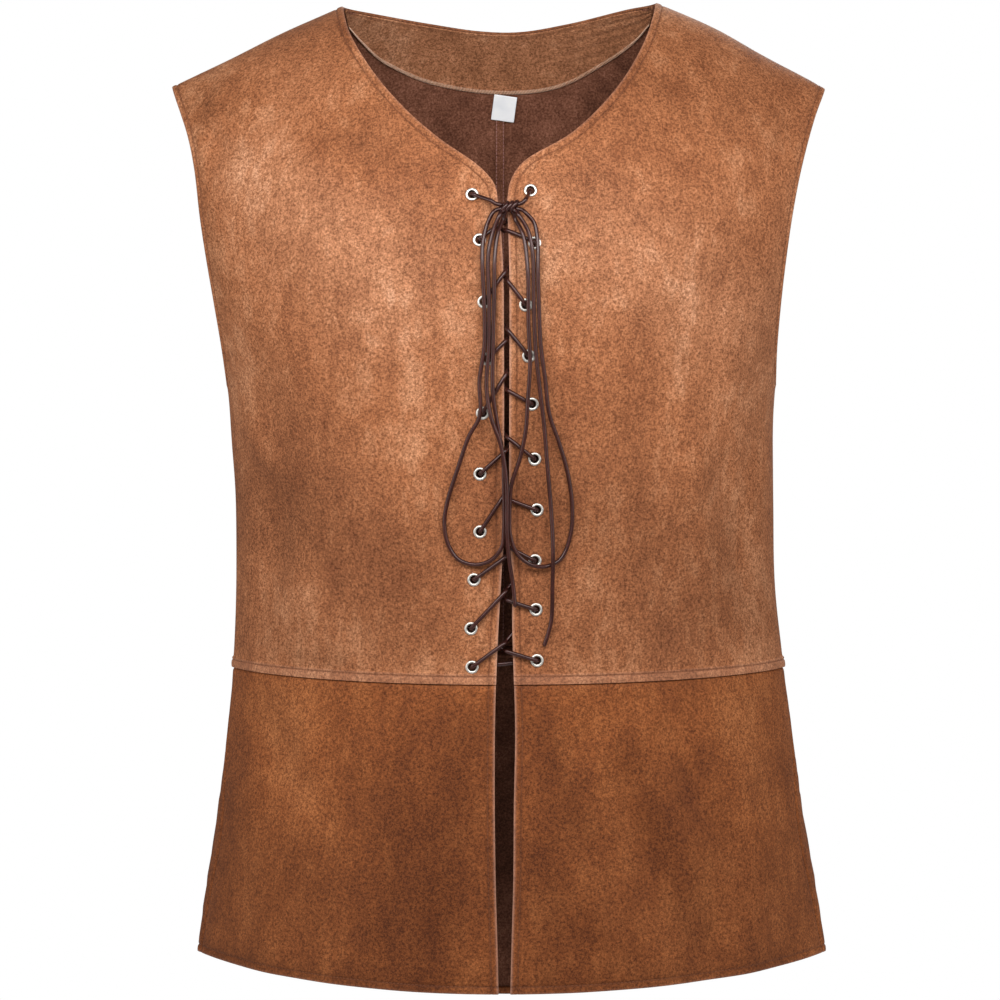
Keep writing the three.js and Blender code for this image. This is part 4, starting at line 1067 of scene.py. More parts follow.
def front_bodice_grid(side):
    """Points of a front from the waist to the shoulder, its marks, and its lines of stitches."""
    mirrored = side == "left"
    low, shares = bodice_heights(), armhole_rows(54)
    fine = front_rows(side, low, shares)
    slants = slant(fine), slant([row[::-1] for row in fine])
    rows = []
    for row, inner_by, outer_by in zip(fine, *slants):
        ladders = edge_ladder(FRONT_STITCH) * inner_by, edge_ladder(ARMHOLE_STITCH) * outer_by
        rows.append(respace(row, *ladders, 52)[0])
    rows = np.array(rows)
    grid = skin("front", rows[..., 0], rows[..., 2])
    grid[-1, :, 1] = -SEAM_GAP / 2
    along = np.array([lengths_along(row) for row in grid])
    from_inner = along / slants[0][:, None]
    from_outer = (along[:, -1:] - along) / slants[1][:, None]
    from_top = np.linalg.norm(grid - grid[-1:], axis=-1)
    over = grid[..., 2] - low[0]
    at_armhole = (np.arange(len(grid)) >= len(low))[:, None]
    edges = stitched_edge(from_inner, FRONT_STITCH) + seam_edge(from_top)
    edges += np.where(
        at_armhole, stitched_edge(from_outer, ARMHOLE_STITCH), seam_edge(from_outer))
    fade = np.clip(np.minimum(from_top, np.minimum(from_outer, over)) / EDGE_CALM, 0, 1)
    grid = grid + grid_normals(grid, mirrored) * bodice_relief("front", grid, over, edges, fade)
    # How strongly the front edges pale, with wear and painted highlight: fully in the opening, less on the
    # neckline.
    in_opening = np.where(grid[..., 2] < SIDES[side][2]["height"][0], 1.0, 0.35)
    marks = bodice_marks(
        "front", grid, over,
        (from_inner, FRONT_STITCH, 1, in_opening), (from_outer, ARMHOLE_STITCH, at_armhole, 0.3))
    lines = lines_on(
        grid, mirrored,
        (slice(WELT_STITCH, None), stitch_line(FRONT_STITCH)),
        (slice(len(low) - 1, None), -1 - stitch_line(ARMHOLE_STITCH)),
        (WELT_STITCH, slice(None)),
    )
    return grid, marks, lines


def suede_finish(name, dark, middle, light):
    """Brushed suede: short nap in soft clouds and strokes, painted light and shade in patches, turned edges
    paler from wear and painted highlight, and painted shade in stitch grooves.
    """
    cloth = Finish(name, Specular_IOR_Level=0.14, Sheen_Weight=0.06, Sheen_Roughness=0.6)
    cloth.shader.inputs["Sheen Tint"].default_value = shade(255, 214, 186)
    place = cloth.node("ShaderNodeTexCoord", output=3)
    clouds = cloth.noise(cloth.stretched(place, (1.0, 1.0, 0.6)), 12, 3, 0.55, 0.5)
    patches = cloth.noise(cloth.stretched(place, (1.0, 1.0, 0.75)), 60, 4, 0.6, 0.4)
    strokes = cloth.noise(cloth.stretched(place, (1.0, 1.0, 0.25), (0, 0.35, 0)), 150, 3, 0.6)
    flecks = cloth.noise(place, 560, 2, 0.65)
    grain = cloth.noise(place, 1200, 2, 0.7)
    nap = clouds * 0.40 + patches * 0.32 + strokes * 0.18 + flecks * 0.10
    tone = cloth.shades(nap, (0.33, dark), (0.50, middle), (0.67, light))
    speckle = cloth.shades(
        flecks * 0.5 + grain * 0.5,
        (0.39, (0.50, 0.45, 0.42, 1)), (0.5, (1, 1, 1, 1)), (0.61, (1.50, 1.54, 1.62, 1)),
    )
    # Painted light and shade from the nap mark: pale, whitish patches stand for light and sheen, dark ones
    # for shade.
    painted_light = cloth.node("ShaderNodeAttribute", {"attribute_name": "nap"}, output=2)
    painted_light_and_shade = cloth.shades(
        painted_light * 0.5 + 0.5 + 0.12 * (clouds - 0.5),
        (0.0, (0.28, 0.20, 0.11, 1)), (0.5, (1, 1, 1, 1)), (1.0, (1.50, 1.90, 2.45, 1)),
    )
    napped = cloth.mix(1.0, cloth.mix(1.0, tone, speckle, "MULTIPLY"), painted_light_and_shade, "MULTIPLY")
    # Turned edges paler, partly wear and partly painted highlight; stitch grooves darker as painted shade.
    worn = cloth.node("ShaderNodeAttribute", {"attribute_name": "worn"}, output=2)
    groove = cloth.node("ShaderNodeAttribute", {"attribute_name": "groove"}, output=2)
    edge_wear_and_highlight = cloth.mix(worn * (0.3 + 0.5 * flecks), napped, shade(208, 160, 138))
    stitched = cloth.mix(groove * 0.4, edge_wear_and_highlight, shade(78, 42, 26))
    height = grain * 0.45 + flecks * 0.40 + patches * 0.15
    return cloth.feed(
        Base_Color=stitched, Roughness=0.58 + 0.14 * patches, Normal=cloth.bump(height, 0.5, 0.0006))


def wrong_side_finish():
    """The knitted wrong side: darker, with fine ribs, and painted shade where the nap mark is under 0."""
    cloth = Finish("suede_wrong_side", Specular_IOR_Level=0.12)
    place = cloth.node("ShaderNodeTexCoord", output=3)
    clouds = cloth.noise(place, 40, 3, 0.6)
    flecks = cloth.noise(place, 700, 2, 0.65)
    rib = cloth.node("ShaderNodeTexWave", {"wave_type": "BANDS", "bands_direction": "X"}, {
        "Vector": place, "Scale": 330.0, "Distortion": 1.5, "Detail": 1.0,
    }, output=1)
    tone = cloth.shades(
        clouds * 0.4 + flecks * 0.55 + rib * 0.05,
        (0.34, shade(74, 44, 32)), (0.5, shade(114, 71, 53)), (0.66, shade(158, 107, 85)),
    )
    # Painted shade: darker where the nap mark is under 0, as inside the back skirt.
    painted_light = cloth.node("ShaderNodeAttribute", {"attribute_name": "nap"}, output=2)
    painted_light_and_shade = cloth.shades(painted_light * 0.5 + 0.5, (0.3, (0.16, 0.11, 0.08, 1)), (0.5, (1, 1, 1, 1)))
    return cloth.feed(
        Base_Color=cloth.mix(1.0, tone, painted_light_and_shade, "MULTIPLY"), Roughness=0.85 + 0.1 * clouds,
        Normal=cloth.bump(rib * 0.2 + flecks * 0.8, 0.5, 0.0005))


bodice_suede = suede_finish(
    "bodice_suede", shade(122, 69, 40), shade(157, 98, 62), shade(191, 134, 96))
wrong_side = wrong_side_finish()


CLOTH_HOLE = 0.00355


def punch(piece, side):
    """Cuts the holes for the eyelets."""
    cutters = []
    for i in range(PAIRS):
        at, out = eyelet_seat(side, i)
        turn = Vector(out).to_track_quat("Z", "Y").to_euler()
        bpy.ops.object.select_all(action="DESELECT")
        bpy.ops.mesh.primitive_cylinder_add(
            vertices=20, radius=CLOTH_HOLE, depth=0.012, location=at, rotation=turn)
        cutters.append(bpy.context.object)
    for cutter in cutters:
        cutter.select_set(True)
    bpy.ops.object.join()
    cutter = bpy.context.object
    cut = piece.modifiers.new("eyelet holes", "BOOLEAN")
    cut.object = cutter
    cut.solver = "EXACT"
    bpy.ops.object.select_all(action="DESELECT")
    bpy.context.view_layer.objects.active = piece
    bpy.ops.object.modifier_apply(modifier=cut.name)
    bpy.data.objects.remove(cutter)


topstitching = {}  # by piece: its lines of stitches
panels = {}  # by piece: its points, each with the cloth's outward direction there


def dress(piece, node, made, mirrored):
    """Puts a finished panel in its node's place, and keeps its points and stitches for sewing."""
    grid, _, lines = made
    wear(piece, "suede")
    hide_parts(node)
    topstitching[node] = lines
    panels[node] = np.concatenate([grid, grid_normals(grid, mirrored)], axis=-1)


for side, area in (("left", 0.104), ("right", 0.103)):
    node, mirrored = f"front_bodice_{side}", side == "left"
    made = front_bodice_grid(side)
    cloth = make_cloth(f"{node}_cloth", made[0], mirrored, made[1], bodice_suede)
    punch(cloth, side)
    dress(cloth, node, made, mirrored)

# ---------------------------------------------------------------- back bodice
# Two backs joined by a seam down the middle, of the same cloth as the fronts.

# Rim of the back neck, from one shoulder seam to the other.
BACK_NECK = table("x height", [
    (-0.111, 0.0004),
    (-0.09, -0.0012),
    (-0.052, -0.006),
    (-0.015, -0.0105),
    (0.015, -0.011),
    (0.05, -0.006),
    (0.09, 0.0015),
    (0.11, 0.0028),
])


NECK_STITCH = 0.006
NECK_COLUMN = 31  # the column of the back's points that ends at the shoulder seam
CLOSED = 0.00004  # what the seam down the middle leaves between the two backs


def back_top(x):
    in_neck = (x > BACK_NECK["x"][0]) & (x < BACK_NECK["x"][-1])
    return np.where(in_neck, read(BACK_NECK, "x", "height", x), shoulder_height(x))


def back_rows(side, low):
    """Rows of a back up to near its outer edge, each with its place on that edge."""
    sign, armhole, _ = SIDES[side]
    tip_x, tip_height = armhole["x"][0], armhole["height"][0]
    tip_angle = round_angle(tip_x, tip_height)
    neck_x = BACK_NECK["x"][0 if side == "left" else -1]
    neck_share = float(round_angle(neck_x, tip_height) / tip_angle)
    shares = np.concatenate([
        [0, 0.0025, 0.006, 0.011, 0.018],
        neck_share * np.sin(spread(26, 0.09, math.pi / 2)),
        spread(36, neck_share, 0.88)[1:],
    ])
    top_x = place_at_angle(shares * tip_angle, tip_height)
    top_x[np.isclose(shares, neck_share)] = neck_x
    rows = []
    for height in low:
        level = np.full(len(shares), height)
        x = place_at_angle(sign * shares * math.pi / 2, level)
        rows.append((x, level, float(sign * half_width(sign, height)), height))
    for t in 1 - (1 - spread(84, 0, 1)) ** CROWDING:
        rise = 0.5 - 0.5 * math.cos(math.pi * t)
        edge_height = UNDERARM + (tip_height - UNDERARM) * rise
        edge_x = float(tip_x if t == 1 else read(armhole, "height", "x", edge_height))
        level = np.full(len(shares), edge_height)
        x = top_x if t == 1 else place_at_angle(shares * round_angle(edge_x, edge_height), level)
        height = UNDERARM + (back_top(top_x) - UNDERARM) * rise
        rows.append((x, height, edge_x, edge_height))
    return rows


def up_to_edge(x, height, edge_x, edge_height):
    """A row of the back's points, carried on to its outer edge and close together beside it."""
    first = skin("back", x, height)
    t = spread(24, 0, 1)[1:]
    near_x = x[-1] + (edge_x - x[-1]) * t
    near_height = height[-1] + (edge_height - height[-1]) * t
    stretch = np.concatenate([first[-1:], skin("back", near_x, near_height)])
    beside = points_at(stretch, lengths_along(stretch)[-1] - edge_ladder(ARMHOLE_STITCH)[::-1])
    row = np.concatenate([first, skin("back", beside[:, 0], beside[:, 2])])
    row[-1] = skin("back", [edge_x], [edge_height])[0]
    return row


def back_bodice_grid(side):
    """Points of a back from the waist to the shoulder, its marks, and its lines of stitches."""
    mirrored = side == "right"
    low = bodice_heights()
    grid = np.array([up_to_edge(*row) for row in back_rows(side, low)])
    neck_x = BACK_NECK["x"][0 if side == "left" else -1]
    on_shoulder = np.abs(grid[-1, :, 0]) >= abs(neck_x) - 1e-6
    grid[-1, on_shoulder, 1] = SEAM_GAP / 2
    grid[:, 0, 0] = SIDES[side][0] * CLOSED / 2
    along = np.array([lengths_along(row) for row in grid])
    from_outer = along[:, -1:] - along
    from_top = np.linalg.norm(grid - grid[-1:], axis=-1)
    over = grid[..., 2] - low[0]
    at_armhole = (np.arange(len(grid)) >= len(low))[:, None]
    edges = seam_edge(along) * np.clip(from_top / 0.004, 0, 1)
    edges += np.where(
        on_shoulder[None, :], seam_edge(from_top), stitched_edge(from_top, NECK_STITCH))
    edges += np.where(
        at_armhole, stitched_edge(from_outer, ARMHOLE_STITCH), seam_edge(from_outer))
    fade = np.clip(np.minimum(from_top, np.minimum(from_outer, over)) / EDGE_CALM, 0, 1)
    fade = fade * np.clip(along / EDGE_CALM, 0, 1)
    grid = grid + grid_normals(grid, mirrored) * bodice_relief("back", grid, over, edges, fade)
    in_neck = ~on_shoulder[None, :]
    marks = bodice_marks(
        "back", grid, over,
        (from_outer, ARMHOLE_STITCH, at_armhole, 0.3), (from_top, NECK_STITCH, in_neck, 0))
    # A dark line along the back neck's rim: painted shadow where the facing meets the back.
    rim = np.exp(-((from_top / 0.0012) ** 2)) * in_neck
    marks["groove"] = np.maximum(marks["groove"], rim)
    neck_rows = np.argmin(np.abs(from_top - NECK_STITCH)[:, : NECK_COLUMN + 1], axis=0)
    lines = lines_on(
        grid, mirrored,
        (slice(len(low) - 1, None), -1 - stitch_line(ARMHOLE_STITCH)),
        (WELT_STITCH, slice(None)),
        (neck_rows, np.arange(NECK_COLUMN + 1)),
    )
    return grid, marks, lines


for side, area in (("left", 0.113), ("right", 0.114)):
    node, mirrored = f"back_bodice_{side}", side == "right"
    made = back_bodice_grid(side)
    cloth = make_cloth(f"{node}_cloth", made[0], mirrored, made[1], bodice_suede)
    dress(cloth, node, made, mirrored)

# ---------------------------------------------------------------- skirt
# A back and two front pieces, flared, sewn under the welt at the waist, with a narrow turned hem.

HEM_SIDE = -0.671  # height of the hem at the side seams
HEM_DROP = 0.0015  # how much lower it hangs at the middle of the front
HEM_CURVE = 1.5  # power of that drop round the hem
BACK_DROP = 0.060  # how much lower the back hangs at its middle
BACK_CURVE = 2
HEM_STITCH = 0.005

# How far the side seams of the skirt swing to the front, in degrees round the section.
SKIRT_SEAM = table("height swing", [
    (-0.467, 0),
    (-0.51, 5),
    (-0.58, 14),
    (-0.64, 11),
    (-0.69, 8),
])


def seam_angle(height):
    return math.pi / 2 - np.radians(read(SKIRT_SEAM, "height", "swing", height))


def hem_height(angle):
    """Height of the hem at an angle right round the body: 0 is the front."""
    front = HEM_DROP * np.abs(np.cos(angle)) ** HEM_CURVE
    return HEM_SIDE - front - BACK_DROP * np.maximum(0, -np.cos(angle)) ** BACK_CURVE


def skirt_height(t, angle):
    top = WAIST - SEAM_GAP / 2
    return top + (hem_height(angle) - top) * t


def skirt_points(angle, height):
    """Places on the skirt at such angles and heights, and the relief of its creases there."""
    turn = np.abs(angle)
    behind = turn > math.pi / 2
    x = place_at_angle(np.sign(angle) * np.where(behind, math.pi - turn, turn), height)
    front, back = skin("front", x, height), skin("back", x, height)
    relief = np.where(behind, crease_out("back", x, height), crease_out("front", x, height))
    return np.where(behind[..., None], back, front), relief


def skirt_rows(edges, shares):
    """Fine rows round a piece of skirt, from the hem up: points, and their creases' relief."""
    rows = []
    for t in shares[::-1]:
        start, end = edges(skirt_height(t, math.pi / 2))
        angle = start + (end - start) * spread(220, 0, 1)
        angle = np.where(angle > math.pi, angle - 2 * math.pi, angle)
        points, relief = skirt_points(angle, skirt_height(t, angle))
        rows.append(np.concatenate([points, relief[:, None]], axis=1))
    return rows


def skirt_grid(middle, edges, stitched):
    """A piece of skirt between two angles at each level; stitched names its turned edges."""
    hem = edge_ladder(HEM_STITCH) / (WAIST - HEM_SIDE)
    shares = np.concatenate([
        [0, 0.003, 0.008, 0.015], spread(58, 0.025, 1 - hem[-1] - 0.012), 1 - hem[::-1]])
    ladder = edge_ladder(FRONT_STITCH)
    spaced = [respace(row, ladder, ladder, middle) for row in skirt_rows(edges, shares)]
    rows, along = (np.array(part) for part in zip(*spaced))
    grid, relief = rows[..., :3], rows[..., 3]
    from_end = along[:, -1:] - along
    from_hem = np.linalg.norm(grid - grid[:1], axis=-1)
    from_waist = np.linalg.norm(grid - grid[-1:], axis=-1)
    fade = np.clip(np.minimum(np.minimum(along, from_end), from_waist) / EDGE_CALM, 0, 1)
    relief = relief * fade + seam_edge(from_waist)
    relief += stitched_edge(from_hem, HEM_STITCH)
    line = stitch_line(FRONT_STITCH)
    turned_edges = [(from_hem, HEM_STITCH, 1, 0.3)]
    places = [(stitch_line(HEM_STITCH), slice(None))]
    for name, distance, column in (("start", along, line), ("end", from_end, -1 - line)):
        turned = name in stitched
        relief += stitched_edge(distance, FRONT_STITCH) if turned else seam_edge(distance)
        turned_edges.append((distance, FRONT_STITCH, turned, 0.9))
        if turned:
            places.append((slice(line, None), column))
    grid = grid + grid_normals(grid, False) * relief[..., None]
    marks = cloth_marks(*turned_edges)
    x, height = grid[..., 0], grid[..., 2]
    # Painted light and shade as nap patches, from the back's table behind the sides and the front's before
    # them.
    marks["nap"] = np.where(grid[..., 1] > 0, painted_light_at("back", x, height), painted_light_at("front", x, height))
    return grid, marks, lines_on(grid, False, *places)


def half_gap(sign, height):
    return SEAM_GAP / half_width(sign, height)


def left_skirt_edges(height):
    return half_gap(-1, height) - seam_angle(height), round_angle(opening_edge("left", height), height)


def right_skirt_edges(height):
    return round_angle(opening_edge("right", height), height), seam_angle(height) - half_gap(1, height)


def back_skirt_edges(height):
    return seam_angle(height) + half_gap(1, height), 2 * math.pi - seam_angle(height) - half_gap(-1, height)


skirt_suede = suede_finish(
    "skirt_suede", shade(105, 54, 26), shade(135, 75, 37), shade(163, 98, 54))
SKIRT_PIECES = (
    ("front_skirt_left", 56, left_skirt_edges, ("end",), (0.26, 0.215), 0.0504),
    ("front_skirt_right", 56, right_skirt_edges, ("start",), (0.26, 0.215), 0.0517),
    ("back_skirt", 150, back_skirt_edges, (), (0.62, 0.265), 0.142),
)
for node, middle, edges, stitched, flat, area in SKIRT_PIECES:
    made = skirt_grid(middle, edges, stitched)
    cloth = make_cloth(f"{node}_cloth", made[0], False, made[1], skirt_suede)
    dress(cloth, node, made, False)

# ---------------------------------------------------------------- facing of the back neck
# A curved piece of the same cloth, sewn along the rim and lying inside it. Its lower edge is
# overlocked, and hangs free on the back.

FACING_THICKNESS = 0.001
FACING_STITCH = 0.0026
FACING_RIBS = 118  # ribs of the knit to a metre, seen on its right half
# Lower edge of the facing, from one shoulder seam to the other.
FACING_EDGE = table("x height", [
    (-0.111, -0.009),
    (-0.104, -0.018),
    (-0.09, -0.031),
    (-0.053, -0.0455),
    (0.0, -0.052),
    (0.045, -0.048),
    (0.083, -0.031),
    (0.102, -0.018),
    (0.11, -0.007),
])


def inside_back(side, column, height, depth):
    """A place on one column of the back's points at a height, moved in by a depth."""
    line = panels[f"back_bodice_{side}"][:, column]
    place = np.stack([np.interp(height, line[:, 2], part) for part in line.T], axis=-1)
    return place[:, :3] - unit(place[:, 3:]) * depth


def facing_grid():
    """Points of the facing, from its lower edge up to the rim."""
    columns = [("left", j) for j in range(NECK_COLUMN, 0, -1)]
    columns += [("right", j) for j in range(3, NECK_COLUMN + 1)]
    shares = np.concatenate([[0, 0.012, 0.03, 0.06], spread(26, 0.1, 1)])
    grid = []
    for side, column in columns:
        rim = panels[f"back_bodice_{side}"][-1, column]
        low = float(read(FACING_EDGE, "x", "height", rim[0]))
        heights = low + (rim[2] - 0.0004 - low) * shares
        grid.append(inside_back(side, column, heights, WALL + SEAM_GAP + FACING_THICKNESS))
    rows = np.array(grid).transpose(1, 0, 2)
    return np.array([points_at(row, np.linspace(0, lengths_along(row)[-1], 150)) for row in rows])


facing_points = facing_grid()
facing_in = grid_normals(facing_points, False)
from_rim = np.linalg.norm(facing_points - facing_points[-1:], axis=-1)
from_low = np.linalg.norm(facing_points - facing_points[:1], axis=-1)
facing_x, facing_z = facing_points[..., 0], facing_points[..., 2]
groove = np.exp(-(((from_rim - FACING_STITCH) / 0.0009) ** 2))
striped = np.clip((facing_x - 0.020) / 0.050, 0, 1)
waves = np.sin(2 * np.pi * (from_rim * FACING_RIBS - facing_x * 3)) * striped
waves = waves * np.clip(from_low / 0.015, 0, 1) * np.clip(from_rim / 0.006, 0, 1)
soft = np.sin(52 * facing_x + 1) * np.sin(80 * facing_z + 30 * facing_x)
facing_relief = 0.0003 * waves + 0.0004 * np.minimum(soft, 0) - 0.0003 * groove
facing_points = facing_points + facing_in * facing_relief[..., None]
# A paler copy of the bodice's suede: painted light on the facing inside the neck.
lit_facing_suede = suede_finish(
    "lit_facing_suede", shade(130, 82, 53), shade(164, 109, 75), shade(196, 142, 106))
# The facing's stitch groove is darkened too: painted shade.
facing_marks = {"worn": 0.0, "groove": groove}
facing = make_cloth(
    "neck_facing_cloth", facing_points, False, facing_marks, lit_facing_suede, FACING_THICKNESS)
wear(facing, "suede_inside")
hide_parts("neck_facing")

# ---------------------------------------------------------------- care label
# A short white tape, caught in the seam under the facing and curled at its free end. It bears nothing.

LABEL = {"width": 0.017, "length": 0.018, "top": -0.053, "x": 0.003, "tilt": 0.14}
LABEL_THICKNESS = 0.0008
LABEL_STEPS = {"across": 14, "down": 18}
LABEL_DEPTH = WALL + FACING_THICKNESS + 3 * SEAM_GAP + 0.0006  # behind the back's outer side


def label_points():
    """A small tilted sheet that follows the slope of the back and curls at its free end."""
    height = LABEL["top"] - LABEL["length"] / 2
    out = skin_normal("back", LABEL["x"], height)
    middle = off_skin("back", LABEL["x"], height, -LABEL_DEPTH)
    down, across = np.meshgrid(
        spread(LABEL_STEPS["down"], -0.5, 0.5), spread(LABEL_STEPS["across"], -0.5, 0.5),
        indexing="ij")
    wide, long = across * LABEL["width"], down * LABEL["length"]
    x = wide * math.cos(LABEL["tilt"]) + long * math.sin(LABEL["tilt"])
    z = long * math.cos(LABEL["tilt"]) - wide * math.sin(LABEL["tilt"])
    curl = 0.0011 * (0.5 - down) ** 2 * (1 + 0.9 * across) + 0.0006 * across * (0.5 - down)
    slope = out[2] / math.sqrt(1 - out[2] ** 2)
    return np.stack([middle[0] + x, middle[1] - z * slope - curl, middle[2] + z], axis=-1)


def label_finish():
    """Smooth woven tape: fine crossed threads and soft clouds, with a faint glow of painted light."""
    # It glows faintly from its own colour: painted light.
    tape = Finish("woven_tape", Specular_IOR_Level=0.3, Emission_Strength=0.16)
    place = tape.node("ShaderNodeTexCoord", output=3)
    cloud = tape.noise(place, 90, 2)
    threads = 0.0
    for direction in ("X", "Z"):
        wave = tape.node("ShaderNodeTexWave", {"bands_direction": direction}, {
            "Vector": place, "Scale": 700.0, "Distortion": 0.4,
        }, output=1)
        threads = threads + wave * 0.5
    tone = tape.shades(
        cloud * 0.7 + threads * 0.3, (0.3, shade(222, 224, 228)), (0.7, shade(244, 244, 244)))
    return tape.feed(
        Base_Color=tone, Emission_Color=tone, Roughness=0.55 + 0.2 * cloud,
        Normal=tape.bump(threads, 0.3, 0.0002))


label = make_cloth(
    "care_label_tape", label_points(), False, {"worn": 0.0}, label_finish(), LABEL_THICKNESS)
label.data.materials[1] = label.data.materials[0]
wear(label, "label")
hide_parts("care_label")

# ---------------------------------------------------------------- eyelets
# Twenty two-part rings of polished nickel, pressed through the fronts. The outer edge is rolled
# over on the outside, and the barrel is curled back on the wrong side.

EYELET_SIDES = 32
EYELET_PROFILE = (
    (0.00270, -0.0028), (0.00270, 0.0006), (0.00278, 0.00088), (0.00296, 0.00104),
    (0.00340, 0.00114), (0.00392, 0.00110), (0.00428, 0.00094), (0.00445, 0.00066),
    (0.00448, 0.00036), (0.00430, 0.00030), (0.00320, 0.00030), (0.00320, -0.0022),
    (0.00385, -0.0022), (0.00400, -0.0024), (0.00396, -0.0027), (0.00370, -0.0030),
    (0.00300, -0.0030),
)


def make_eyelet(name, at, out):
    """A circle drawn up and out, step by step, through the ring's profile and joined up."""
    bpy.ops.object.select_all(action="DESELECT")
    radius, height = EYELET_PROFILE[0]
    bpy.ops.mesh.primitive_circle_add(vertices=EYELET_SIDES, radius=radius, location=(0, 0, 0))
    ring = bpy.context.object
    ring.name = name
    ring.data.name = name
    bpy.ops.object.mode_set(mode="EDIT")
    bpy.ops.mesh.select_all(action="SELECT")
    bpy.ops.transform.translate(value=(0, 0, height))
    for wide, high in EYELET_PROFILE[1:] + EYELET_PROFILE[:1]:
        bpy.ops.mesh.extrude_region_move(TRANSFORM_OT_translate={"value": (0, 0, high - height)})
        bpy.ops.transform.resize(value=(wide / radius, wide / radius, 1))
        radius, height = wide, high
    bpy.ops.mesh.select_all(action="SELECT")
    bpy.ops.mesh.remove_doubles(threshold=0.000005)
    bpy.ops.mesh.normals_make_consistent(inside=False)
    bpy.ops.object.mode_set(mode="OBJECT")
    ring.data.shade_smooth()
    turn = Vector((0, 0, 1)).rotation_difference(Vector(out)).to_matrix().to_4x4()
    ring.data.transform(Matrix.Translation(at) @ turn)
    return ring


def nickel_finish():
    """Polished nickel with a faint haze and fine scratches."""
    nickel = Finish("polished_nickel", Metallic=1.0)
    place = nickel.node("ShaderNodeTexCoord", output=3)
    haze = nickel.noise(place, 900, 3, 0.6)
    scratch = nickel.noise(nickel.stretched(place, (1, 1, 9)), 700, 2, 0.7)
    tone = nickel.shades(haze, (0.3, shade(214, 208, 198)), (0.7, shade(243, 240, 233)))
    return nickel.feed(
        Base_Color=tone, Roughness=0.34 + 0.2 * scratch, Normal=nickel.bump(haze, 0.08, 0.0001))


polished_nickel = nickel_finish()
for side in ("left", "right"):
    for i in range(PAIRS):
        at, out = eyelet_seat(side, i)
        ring = make_eyelet(f"ring_{side}_{i + 1:02d}", at, out)
        wear(ring, "eyelet_metal", polished_nickel)
        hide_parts(f"eyelet_{side}_{i + 1:02d}")

# ---------------------------------------------------------------- sewing
# Topstitching in brown thread along every turned edge, and the pale overlocking on the lower
# edge of the facing. Each stitch is a short length of thread, sunk in at its ends.

THREAD = 0.00021
STITCH = {"pitch": 0.0027, "length": 0.0021}


def sew(name, strands, normals, radius, material, slot, sides=5):
    """One mesh of many short threads; strands holds the points of each."""
    count, steps = strands.shape[:2]
    along = unit(np.gradient(strands, axis=1))
    side = unit(np.cross(along, normals[:, None]))
    up = np.cross(side, along)
    angles = np.arange(sides) * 2 * np.pi / sides
    thick = radius * np.where((np.arange(steps) == 0) | (np.arange(steps) == steps - 1), 0.5, 1)
    ring = side[:, :, None] * np.cos(angles)[:, None] + up[:, :, None] * np.sin(angles)[:, None]
    vertices = strands[:, :, None] + ring * thick[:, None, None]
    one = []
    for i in range(steps - 1):
        for j in range(sides):
            k = (j + 1) % sides
            one.append((i * sides + j, i * sides + k, (i + 1) * sides + k, (i + 1) * sides + j))
    first = tuple(range(sides))[::-1]
    last = tuple(range((steps - 1) * sides, steps * sides))
    faces = []
    for start in range(0, count * steps * sides, steps * sides):
        faces += [tuple(start + v for v in face) for face in [*one, first, last]]
    wear(new_mesh_piece(name, vertices.reshape(-1, 3), faces), slot, material)


def stitches_along(points, normals, lift=0.00012):
    """The strands of a row of stitches along a line on the cloth."""
    starts = np.arange(0.0008, lengths_along(points)[-1] - STITCH["length"], STITCH["pitch"])
    places = starts[:, None] + np.array([0, 0.14, 0.5, 0.86, 1]) * STITCH["length"]
    line = np.concatenate([points, normals], axis=-1)
    both = points_at(line, places.ravel()).reshape(-1, 5, 6)
    strands, out = both[..., :3], unit(both[..., 3:])
    rise = np.array([-0.00035, 0.4 * lift, lift, 0.4 * lift, -0.00035])
    return strands + out * rise[:, None], out[:, 2]


def sew_rows(name, lines, radius, thread):
    """Rows of stitches along lines on the suede, as one piece."""
    sewn = [stitches_along(points, normals) for points, normals in lines]
    strands, out = (np.concatenate(part) for part in zip(*sewn))
    sew(name, strands, out, radius, thread, "suede")


def thread_finish(name, dark, light):
    """Spun thread: fine slanting plies."""
    thread = Finish(name, Specular_IOR_Level=0.3)
    place = thread.node("ShaderNodeTexCoord", output=3)
    ply = thread.noise(thread.stretched(place, (1, 1, 3), (0.6, 0, 0.6)), 2200, 2, 0.6)
    cloud = thread.noise(place, 60, 2)
    tone = thread.shades(ply * 0.6 + cloud * 0.4, (0.35, dark), (0.65, light))
    return thread.feed(Base_Color=tone, Roughness=0.55 + 0.3 * ply, Normal=thread.bump(ply, 0.4, 0.0001))


brown_thread = thread_finish("brown_thread", shade(104, 60, 38), shade(148, 94, 64))
pale_thread = thread_finish("pale_thread", shade(206, 164, 134), shade(246, 212, 186))
for node, lines in topstitching.items():
    sew_rows(f"{node}_stitches", lines, THREAD, brown_thread)

# The overlocking: each stitch loops over the raw edge of the facing.
OVERLOCK = {"pitch": 0.0011, "width": 0.0028, "thread": 0.00026}
low_edge = np.concatenate(
    [facing_points[0], unit(facing_points[5] - facing_points[0]), facing_in[0]], axis=-1)
edge_length = lengths_along(low_edge[:, :3])[-1]
starts = np.arange(0.001, edge_length - 0.001, OVERLOCK["pitch"])


def beside(along_by, up_by, out_by):
    """Places beside the facing's lower edge: along it, up the facing and out from it."""
    at = points_at(low_edge, starts + along_by)
    return at[:, :3] + unit(at[:, 3:6]) * up_by + unit(at[:, 6:]) * out_by


